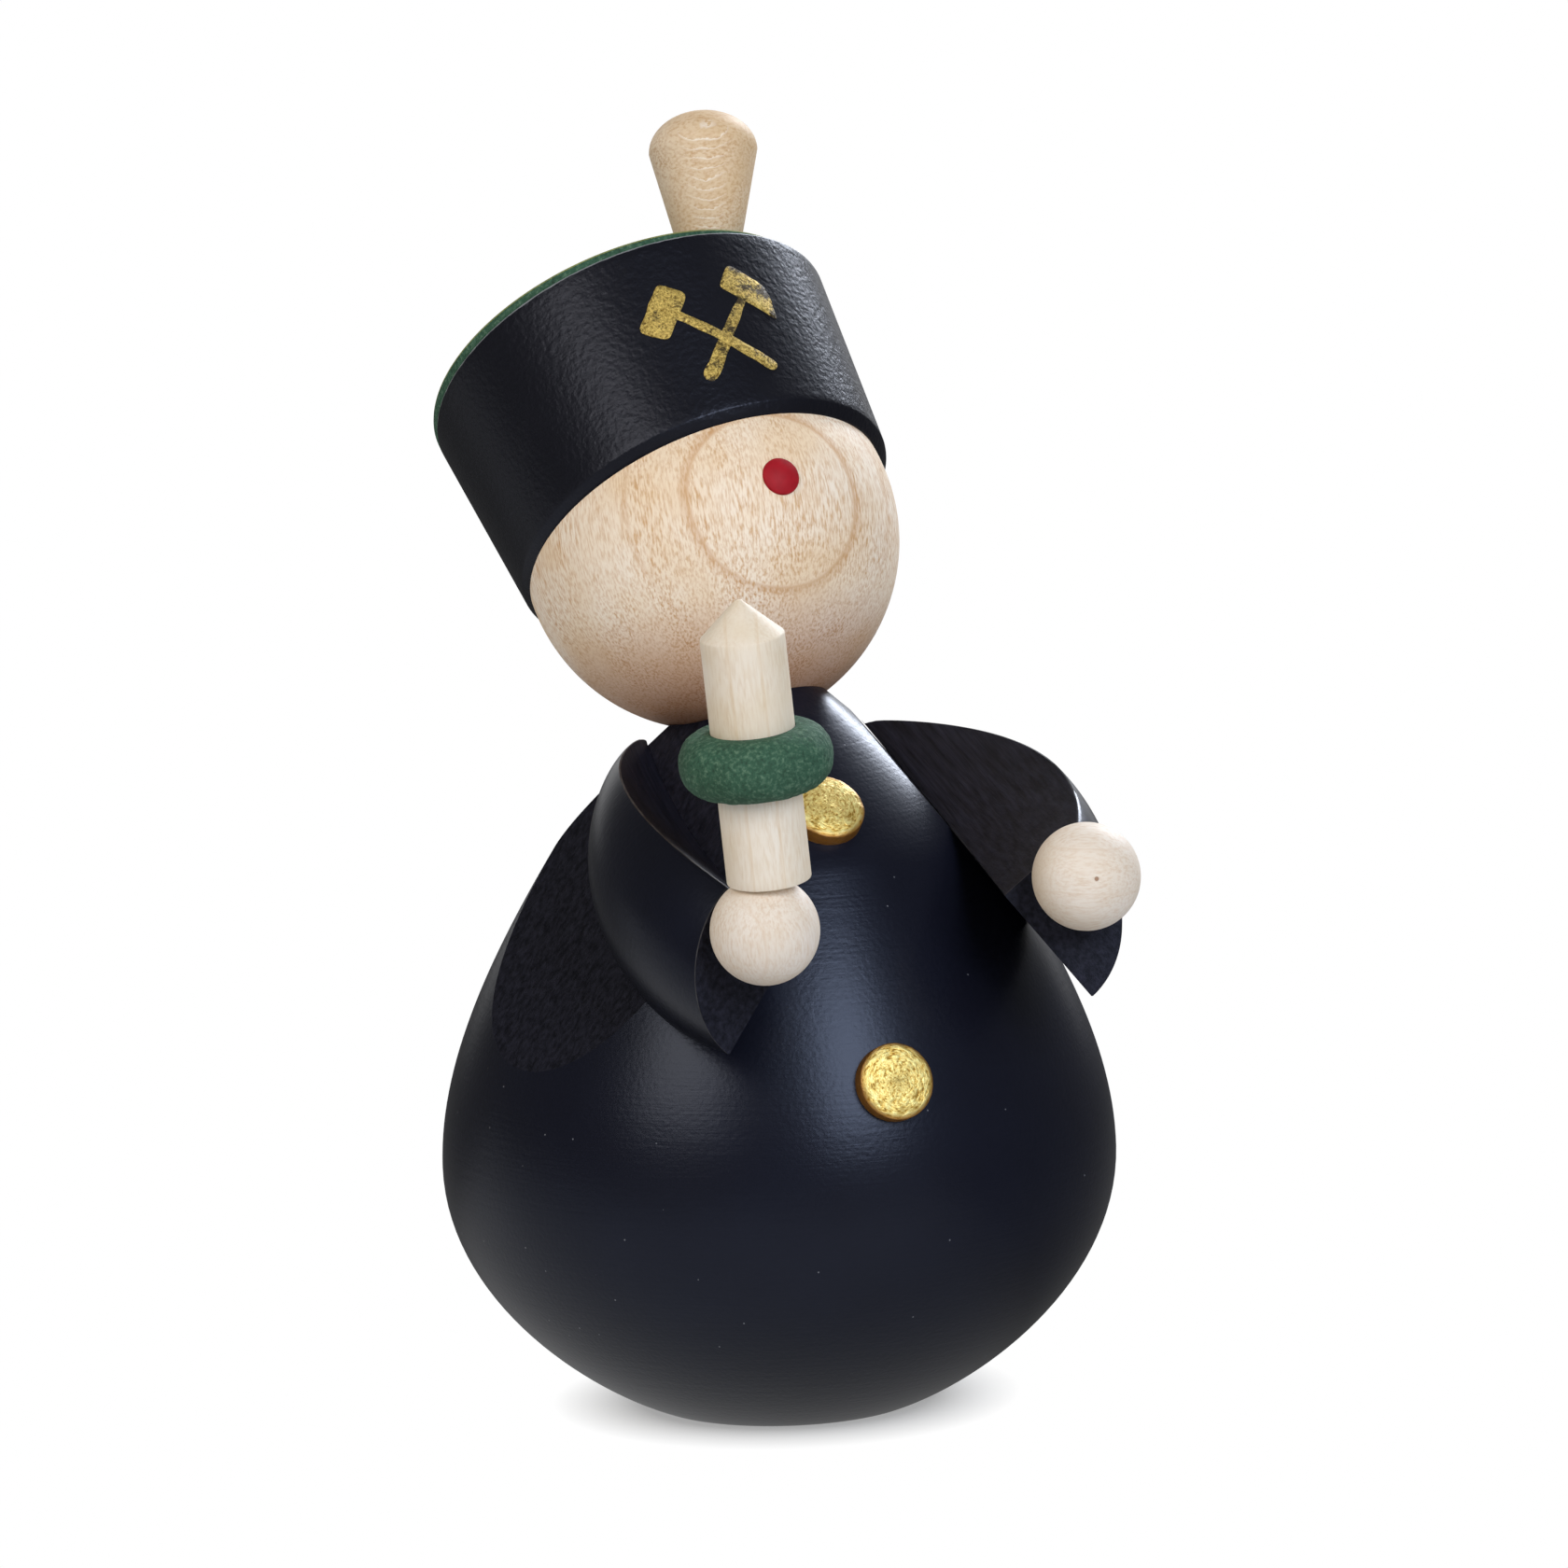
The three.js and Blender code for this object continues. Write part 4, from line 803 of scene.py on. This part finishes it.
def along_to_cuff(strip, share, start):
    """How far a line along the sleeve runs from its parted end to the cuff."""
    near, far = start, SLEEVE_HEAD + SLEEVE_TAIL
    while far - near > CUFF_PRECISION:
        middle = (near + far) / 2
        beyond = (on_sleeve(strip, share, middle) - cuff_corner).dot(cuff_normal)
        near, far = (near, middle) if beyond > 0 else (middle, far)
    return near


tilt, slant, rake = (math.radians(angle) for angle in (FACE_TILT, CUFF_SLANT, CUFF_RAKE))
upper_edge = Vector((math.sin(tilt) * math.cos(rake), math.cos(tilt) * math.cos(rake), math.sin(rake)))
inner_edge = Vector((-math.cos(slant), 0, math.sin(slant)))
cuff_normal = upper_edge.cross(inner_edge).normalized()
cuff_rise = FACE_ABOVE + FACE_RADIUS - math.sqrt(FACE_RADIUS**2 - (CUFF_AT - FACE_ALONG) ** 2)
cuff_corner = Vector((cuff_rise, 0, CUFF_AT))
sleeve_frames = {}
for word, side in SIDES.items():
    outwards = flank_normals[word]
    level = (outwards.cross(Vector((0, 0, 1))) * side).normalized()
    along_arm = Matrix.Rotation(side * math.radians(ARM_DROOP[word]), 3, outwards) @ level
    downhill = outwards.cross(along_arm) * side
    start = flank_middles[word] - along_arm * SHOULDER_ALONG - downhill * SHOULDER_BELOW[word]
    sleeve_frames[word] = place(start + outwards * ARM_GAP, along_arm, outwards.cross(along_arm))

    parting = SLEEVE_PARTING[word]
    sleeve = bmesh.new()
    lines = []
    finishes = []
    for strip, count in SLEEVE_STRIPS.items():
        for k in range(count + 1):
            end = along_to_cuff(strip, k / count, parting)
            line = []
            for row in range(SLEEVE_ROWS + 1):
                spot = on_sleeve(strip, k / count, parting + (end - parting) * row / SLEEVE_ROWS)
                line.append(sleeve.verts.new(Vector((-side * spot.x, spot.y, spot.z)) * MM))
            lines.append(line)
            # The last strip of each side takes the lighter edge paint: worn paint and a painted edge
            # highlight.
            finishes.append(2 if k == count else int(strip != "round"))
    for line, beside, finish in zip(lines, lines[1:] + lines[:1], finishes):
        for row in range(SLEEVE_ROWS):
            face = sleeve.faces.new((line[row], line[row + 1], beside[row + 1], beside[row]))
            face.material_index = finish
    sleeve.faces.new([line[0] for line in lines])
    cuff = sleeve.faces.new([line[-1] for line in lines])
    cuff.material_index = 1
    # The cuff's rim also takes the lighter edge paint, partly a painted edge highlight.
    rim = bmesh.ops.inset_individual(sleeve, faces=[cuff], thickness=SLEEVE_EDGE * MM)["faces"]
    for face in rim:
        face.material_index = 2
    for line in lines:
        back = line[-2].co - line[-1].co
        line[-1].co += back.normalized() * SLEEVE_EDGE * MM
    bmesh.ops.recalc_face_normals(sleeve, faces=sleeve.faces)
    carrier = word + "_arm_set"
    arm = word + "_arm"
    assemble(word + "_sleeve", sleeve, sleeve_frames[word], carrier, coat_finishes, "coat_paint", arm)


# Hands
# Maple balls of the head's wood, each with a flat against the cuff, pinned and glued on. The right
# hand has a second flat, for the candle, and the left one shows the mark of the lathe's centre.
HAND_RADIUS = 3.9
HAND_FLAT = 0.6
HAND_SIDES = 72
HAND_OUT = {"right": 4.45, "left": 5}
HAND_DOWN = {"right": 1.94, "left": 2.58}
HAND_PRICK = {"right": 0, "left": 0.13}
CANDLE_FLAT = 0.35
CANDLE_SHIFT = 0.75

candle_axis = Vector(joints["drip_ring_slide"]["axis"])
flat_angle = math.degrees(math.asin((HAND_FLAT - HAND_RADIUS) / HAND_RADIUS))
hand_outline = [Vector((0, HAND_FLAT - HAND_RADIUS))]
hand_outline += arc(Vector((0, 0)), HAND_RADIUS, flat_angle, 90, HAND_SIDES // 2)
hand_outline[-1].x = 0
for word, side in SIDES.items():
    hand_seat = cuff_corner + upper_edge * HAND_OUT[word] + inner_edge * HAND_DOWN[word]
    hand_middle = hand_seat + cuff_normal * (HAND_RADIUS - HAND_FLAT + SEAT_GAP)
    uphill_first = Matrix.Diagonal((-side, 1, 1))
    on_cuff = place(uphill_first @ hand_middle, uphill_first @ cuff_normal, Vector((0, 1, 0)))
    hand_frame = sleeve_frames[word] @ on_cuff
    hand = turned(hand_outline, HAND_SIDES)
    if word == "right":
        upright = place(hand_frame.translation / MM, candle_axis, Vector((1, 0, 0)))
        candle_frame = upright @ Matrix.Translation(Vector((CANDLE_SHIFT, 0, 0)) * MM)
        to_hand = hand_frame.inverted() @ candle_frame
        candle_up = (to_hand.to_3x3() @ Vector((0, 0, 1))).normalized()
        saw(hand, to_hand @ (Vector((0, 0, HAND_RADIUS - CANDLE_FLAT)) * MM) / MM, candle_up, 0)
    hand_wood = sealed_maple(
        "sealed_maple_hand_" + word,
        {"ring_normal": Vector((0.66, 0.75, 0.1)), "grain": Vector((0.75, -0.66, 0.2))},
        {
            "gap": 3.1, "start": 0.1, "waver_size": 9, "waver": 0.15, "fray": 0.06, "width": 0.07,
            "strength": 0.18, "facing": Vector((0, 0, 1)), "fade": (0.2, 0.6),
        },
        {"size": 0.18, "run": 0.22, "sparse": 0.2, "dense": 0.5},
        {"pale": "ebe1d5", "deep": "e1d3c0", "fleck": "ccab86", "ring": "c9a06f"},
        prick=HAND_PRICK[word],
    )
    carrier = word + "_arm_set"
    assemble(word + "_hand_ball", hand, hand_frame, carrier, (hand_wood,), "maple", word + "_hand")


# Candle
# A maple dowel with a turned cone for the flame, glued upright on the flat of the right hand.
# The point of the cone is blunted a little.
CANDLE_RADIUS = 3
CANDLE_LENGTH = 20.55
CANDLE_POINT = 2.7
CANDLE_TIP_RADIUS = 0.25
CANDLE_TIP_DROP = 0.15
CANDLE_EASE = 0.1
CANDLE_SIDES = 72
CANDLE_ROWS = 20

candle_foot = HAND_RADIUS - CANDLE_FLAT + SEAT_GAP
candle_top = candle_foot + CANDLE_LENGTH
side_height = CANDLE_LENGTH - CANDLE_POINT
candle_outline = [Vector((0, candle_foot))]
for k in range(CANDLE_ROWS + 1):
    candle_outline.append(Vector((CANDLE_RADIUS, candle_foot + side_height * k / CANDLE_ROWS)))
candle_outline.append(Vector((CANDLE_TIP_RADIUS, candle_top - CANDLE_TIP_DROP)))
candle_outline.append(Vector((0, candle_top - CANDLE_TIP_DROP / 2)))
candle = turned(candle_outline, CANDLE_SIDES)
ease_edges(candle, CANDLE_EASE)
candle_wood = sealed_maple(
    "sealed_maple_candle",
    {"ring_normal": Vector((1, -0.4, 0)), "grain": Vector((0, 0, 1))},
    {
        "gap": 2.2, "start": 0.3, "waver_size": 9, "waver": 0.15, "fray": 0.08, "width": 0.12,
        "strength": 0.3, "facing": Vector((0, -1, 0)), "fade": (-0.5, 0.5),
    },
    {"size": 0.2, "run": 0.15, "sparse": 0.1, "dense": 0.4},
    {"pale": "ece2d3", "deep": "e2d3ba", "fleck": "cdb088", "ring": "d2b283"},
)
assemble("candle_dowel", candle, candle_frame, "right_arm_set", (candle_wood,), "maple", "candle")


# Drip ring
# A plump ring of lime, turned, water-stained green and threaded on the candle, where it slides.
# The wet has raised its surface a little.
RING_RADIUS = 5.45
RING_THICKNESS = 4.5
RING_HEIGHT = 8.9  # its middle above the candle's flat
RING_EDGE = 2.05
RING_BORE = 3.06
RING_BORE_EDGE = 0.1  # how far from the bore the raised fibres start
RING_SIDES = 144
RING_ARC_POINTS = 16
RING_FUZZ = 0.05
RING_FUZZ_WAVES = 1.8  # per mm
RING_WELD = 0.001

ring_middle = HAND_RADIUS - CANDLE_FLAT + RING_HEIGHT
ring_bottom = ring_middle - RING_THICKNESS / 2
ring_top = ring_middle + RING_THICKNESS / 2
lower_round = Vector((RING_RADIUS - RING_EDGE, ring_bottom + RING_EDGE))
upper_round = Vector((RING_RADIUS - RING_EDGE, ring_top - RING_EDGE))
ring_outline = [Vector((RING_BORE, ring_bottom))]
ring_outline += arc(lower_round, RING_EDGE, -90, 0, RING_ARC_POINTS)
ring_outline += arc(upper_round, RING_EDGE, 0, 90, RING_ARC_POINTS)
ring_outline.append(Vector((RING_BORE, ring_top)))
ring_outline.append(ring_outline[0].copy())
ring = turned(ring_outline, RING_SIDES)
bmesh.ops.remove_doubles(ring, verts=ring.verts, dist=RING_WELD * MM)
ring.normal_update()
for vert in ring.verts:
    if vert.co.to_2d().length > (RING_BORE + RING_BORE_EDGE) * MM:
        raised = noise.fractal(vert.co / MM * RING_FUZZ_WAVES, 1.0, 2.0, 4)
        vert.co += vert.normal * raised * RING_FUZZ * MM
assemble("green_ring", ring, candle_frame, "ring", (green_stain,), "green_stain", "drip_ring")


# Buttons
# Two domed discs of lime with a peg, gilded with bronze powder and glued on the front of the coat.
# The gilding is crinkled and darker towards the edge.
BUTTON_RADIUS = 2.8
BUTTON_THICKNESS = 1.25
BUTTON_DOME = 0.45
BUTTON_SIDES = 96
BUTTON_RINGS = 18
BUTTON_CRINKLE = 0.06
BUTTON_CRINKLE_WAVES = 1.3  # per mm
BUTTON_SINK = 0.35
BUTTON_PLACES = {"lower_button": (27.7, 0.3), "upper_button": (45.9, 0.6)}


# Crinkled gilding: bronze powder brushed round on the disc, in tiny grains of varied tone, the
# brightest of them painted glints, with painted shade in the darker creases, thin and orange-brown at
# the edge.
def crinkled_gilding():
    material, node, place_in = bare_material("crinkled_gilding")
    axes = node("SeparateXYZ", {0: place_in})
    flat = node("CombineXYZ", {0: axes.outputs["X"], 1: axes.outputs["Y"]})
    out = node("VectorMath", {0: flat}, operation="LENGTH")
    turn = node("Math", {0: axes.outputs["Y"], 1: axes.outputs["X"]}, operation="ARCTAN2")
    round_run = node("Math", {0: turn, 1: 0.8 * MM}, operation="MULTIPLY")
    brushed = node("CombineXYZ", {0: out, 1: round_run, 2: axes.outputs["Z"]})
    folds = node("TexNoise", {"Vector": brushed, "Scale": per_mm(0.2), "Detail": 3.0, "Roughness": 0.7})
    # Grains of the bronze in varied tone, their bright end painted glints.
    grains_and_glints = node("MapRange", {"Value": folds, "From Min": 0.36, "From Max": 0.66})
    leaf = node("Mix", {0: grains_and_glints, 6: "cb9d30", 7: "fff3a4"}, data_type="RGBA")
    # Painted shade darkens the low creases of the crinkle.
    crease_shade = node("MapRange", {
        "Value": folds, "From Min": 0.34, "From Max": 0.44, "To Min": 0.7, "To Max": 0.0,
    })
    crease_shaded = node("Mix", {0: crease_shade, 6: leaf, 7: "734b10"}, data_type="RGBA")
    ragged = node("Math", {0: folds, 1: 0.5 * MM, 2: out}, operation="MULTIPLY_ADD")
    edge = node("MapRange", {
        "Value": ragged, "From Min": (BUTTON_RADIUS - 0.1) * MM,
        "From Max": (BUTTON_RADIUS + 0.25) * MM, "To Max": 0.9,
    })
    edged = node("Mix", {0: edge, 6: crease_shaded, 7: "8f5010"}, data_type="RGBA")
    relief = node("Bump", {"Height": folds, "Strength": 0.8, "Distance": 0.09 * MM})
    gilding = node("BsdfPrincipled", {
        "Base Color": edged, "Metallic": 0.6, "Roughness": 0.42, "Normal": relief,
    })
    node("OutputMaterial", {"Surface": gilding})
    return material


gilding = crinkled_gilding()
for node, (height, offset) in BUTTON_PLACES.items():
    above = next(k for k, p in enumerate(coat_outline) if k > 1 and p.y >= height)
    low, high = coat_outline[above - 1], coat_outline[above]
    surface = low.lerp(high, (height - low.y) / (high.y - low.y))
    slope = (high - low).normalized()
    seat = Vector((-offset, -surface.x, surface.y))
    button_frame = place(seat, Vector((0, -slope.y, -slope.x)), Vector((1, 0, 0)))
    button_outline = [Vector((0, -BUTTON_SINK)), Vector((BUTTON_RADIUS, -BUTTON_SINK))]
    button_edge = BUTTON_THICKNESS - BUTTON_DOME
    for k in range(BUTTON_RINGS + 1):
        bow = math.radians(90 * k / BUTTON_RINGS)
        out = BUTTON_RADIUS * math.cos(bow) if k < BUTTON_RINGS else 0
        button_outline.append(Vector((out, button_edge + BUTTON_DOME * math.sin(bow))))
    button = turned(button_outline, BUTTON_SIDES)
    for vert in button.verts:
        if vert.co.z > 0:
            fold = noise.fractal(vert.co / MM * BUTTON_CRINKLE_WAVES + seat, 0.9, 2.0, 4)
            vert.co.z += fold * BUTTON_CRINKLE * MM
    assemble(node + "_disc", button, button_frame, "trunk", (gilding,), "gold_paint", node)


# Dowels and pins
# Bare beech dowels inside the figure: under the head, behind the arms, and in the hands and candle.
# They keep the shapes of the model and only show when the figure is taken apart.
def bare_beech():
    material, node, place_in = bare_material("bare_beech")
    rays = node("TexNoise", {"Vector": place_in, "Scale": per_mm(0.4), "Detail": 3.0})
    wood = node("Mix", {0: rays, 6: "e3c298", 7: "b98a5a"}, data_type="RGBA")
    pores = node("Bump", {"Height": rays, "Strength": 0.3, "Distance": 0.05 * MM})
    beech = node("BsdfPrincipled", {"Base Color": wood, "Roughness": 0.65, "IOR": 1.5, "Normal": pores})
    node("OutputMaterial", {"Surface": beech})
    return material


beech = bare_beech()
for name, node in frame["nodes"].items():
    if name.endswith(("_dowel", "_pin")):
        node.data.materials.clear()
        node.data.materials.append(beech)


# Studio
# A white sweep under and behind the figure, a dim room in front of it, and three soft boxes: a tall
# one high in front, one at the left and one behind at the right, as the camera sees them. The camera
# looks from the figure's front right.
AIM = Vector((1.05, -0.67, 46.4))
VIEW_AZIMUTH = -21.62
VIEW_RISE = 8.65
VIEW_ROLL = 1.82
VIEW_DISTANCE = 600
LENS = 185.8
SENSOR = 36
CLIP_START = 10
FLOOR_SIZE = 20000
SHADOW_START = 11  # distance from the figure's middle at which the floor's shadow is full
SHADOW_REACH = 17.5  # and at which the floor is plain white
SHADOW_WHITE = 0.35  # share of plain white in the full shadow
MIRROR_TOWARDS = (-0.8, -0.6, 0)  # the paint mirrors more of the paper at the front left
MIRROR_FROM = -12
MIRROR_TO = 28
MIRROR_DIM = 0.14
MIRROR_BRIGHT = 0.66
MIRROR_NEAR = 60  # distances over which the mirrored paper gets dimmer
MIRROR_FAR = 200
MIRROR_FAR_SHARE = 0.6
BACKDROP_EDGE = (0.79, 0.96)  # where the paint mirrors the backdrop, as cosines off straight behind
BACKDROP_MIRROR = (0.09, 1.0)
FILL_EDGE = (-0.1, 0.5)  # where the backdrop's soft light starts and is full
FILL_LIGHT = (0.05, 1.1)
SOFT_BOXES = {
    "front": {"azimuth": 8, "rise": 30, "size": (340, 500), "power": 5.2, "tint": "ecf3ff"},
    "left": {"azimuth": -58, "rise": 33, "size": (440, 480), "power": 3.3, "tint": "fff6ea"},
    "right": {"azimuth": 132, "rise": 30, "size": (220, 400), "power": 5.2, "tint": "eef4ff"},
}
BOX_DISTANCE = 900


def look_from(azimuth, rise, distance):
    """Place and turn of something that looks at the figure's middle; azimuth 0 is straight in front."""
    turn, lift = math.radians(azimuth), math.radians(rise)
    out = Vector((math.sin(turn) * math.cos(lift), -math.cos(turn) * math.cos(lift), math.sin(lift)))
    facing = out.to_track_quat("Z", "Y").to_matrix().to_4x4()
    return Matrix.Translation((AIM + out * distance) * MM) @ facing


scene = bpy.context.scene
camera = bpy.data.objects.new("camera", bpy.data.cameras.new("camera"))
camera.data.lens = LENS
camera.data.sensor_width = SENSOR
camera.data.clip_start = CLIP_START * MM
camera_roll = Matrix.Rotation(math.radians(-VIEW_ROLL), 4, "Z")
camera.matrix_world = look_from(VIEW_AZIMUTH, VIEW_RISE, VIEW_DISTANCE) @ camera_roll
scene.collection.objects.link(camera)
scene.camera = camera

for word, box in SOFT_BOXES.items():
    lamp = bpy.data.objects.new("soft_box_" + word, bpy.data.lights.new("soft_box_" + word, "AREA"))
    lamp.data.shape = "RECTANGLE"
    lamp.data.size = box["size"][0] * MM
    lamp.data.size_y = box["size"][1] * MM
    lamp.data.energy = box["power"]
    lamp.data.color = colour(box["tint"])[:3]
    lamp.matrix_world = look_from(box["azimuth"], box["rise"], BOX_DISTANCE)
    scene.collection.objects.link(lamp)


def white_sweep():
    """White paper that keeps the figure's shadow: matt near the figure, plain white further out."""
    material, node, place_in = bare_material("white_sweep")
    rays = node("LightPath", {})
    mirror = node("Math", {
        0: rays.outputs["Is Glossy Ray"], 1: rays.outputs["Is Transmission Ray"],
    }, operation="MAXIMUM")
    away = node("VectorMath", {0: place_in}, operation="LENGTH")
    far = node("MapRange", {
        "Value": away, "From Min": SHADOW_START * MM, "From Max": SHADOW_REACH * MM,
        "To Min": SHADOW_WHITE, "To Max": 1.0,
    })
    plain = node("Math", {
        0: rays.outputs["Is Camera Ray"], 1: far, 2: mirror,
    }, operation="MULTIPLY_ADD")
    front_left = node("VectorMath", {0: place_in, 1: MIRROR_TOWARDS}, operation="DOT_PRODUCT")
    mirrored = node("MapRange", {
        "Value": front_left, "From Min": MIRROR_FROM * MM, "From Max": MIRROR_TO * MM,
        "To Min": MIRROR_DIM, "To Max": MIRROR_BRIGHT,
    })
    fading = node("MapRange", {
        "Value": away, "From Min": MIRROR_NEAR * MM, "From Max": MIRROR_FAR * MM, "To Min": 1.0,
        "To Max": MIRROR_FAR_SHARE,
    })
    dimmed = node("Math", {0: mirrored, 1: fading}, operation="MULTIPLY")
    strength = node("Mix", {0: mirror, 2: 1.0, 3: dimmed}, data_type="FLOAT")
    fibre = node("TexNoise", {"Vector": place_in, "Scale": per_mm(2)})
    tone = node("Mix", {0: fibre, 6: "c4c4c4", 7: "cacaca"}, data_type="RGBA")
    paper = node("BsdfDiffuse", {"Color": tone})
    white = node("Emission", {"Color": "ffffff", "Strength": strength})
    sweep = node("MixShader", {0: plain, 1: paper, 2: white})
    node("OutputMaterial", {"Surface": sweep})
    return material


paper = bmesh.new()
bmesh.ops.create_grid(paper, x_segments=1, y_segments=1, size=FLOOR_SIZE / 2 * MM)
floor_mesh = bpy.data.meshes.new("floor")
paper.to_mesh(floor_mesh)
paper.free()
floor_mesh.materials.append(white_sweep())
floor = bpy.data.objects.new("floor", floor_mesh)
scene.collection.objects.link(floor)

world = bpy.data.worlds.new("studio")
scene.world = world
world.use_nodes = True
room = world.node_tree
room.nodes.clear()
rays = add(room, "LightPath", {})
ahead = -(camera.matrix_world.to_3x3() @ Vector((0, 0, 1)))
backdrop = add(room, "VectorMath", {
    0: add(room, "TexCoord", {}).outputs["Generated"], 1: ahead,
}, operation="DOT_PRODUCT")
behind = add(room, "MapRange", {
    "Value": backdrop, "From Min": BACKDROP_EDGE[0], "From Max": BACKDROP_EDGE[1],
    "To Min": BACKDROP_MIRROR[0], "To Max": BACKDROP_MIRROR[1],
})
fill = add(room, "MapRange", {
    "Value": backdrop, "From Min": FILL_EDGE[0], "From Max": FILL_EDGE[1], "To Min": FILL_LIGHT[0],
    "To Max": FILL_LIGHT[1],
})
mirror = add(room, "Math", {
    0: rays.outputs["Is Glossy Ray"], 1: rays.outputs["Is Transmission Ray"],
}, operation="MAXIMUM")
glow = add(room, "Mix", {0: mirror, 2: fill, 3: behind}, data_type="FLOAT")
level = add(room, "Mix", {0: rays.outputs["Is Camera Ray"], 2: glow, 3: 1.0}, data_type="FLOAT")
sky = add(room, "Background", {"Color": "ffffff", "Strength": level})
add(room, "OutputWorld", {"Surface": sky})

scene.view_settings.view_transform = "Standard"
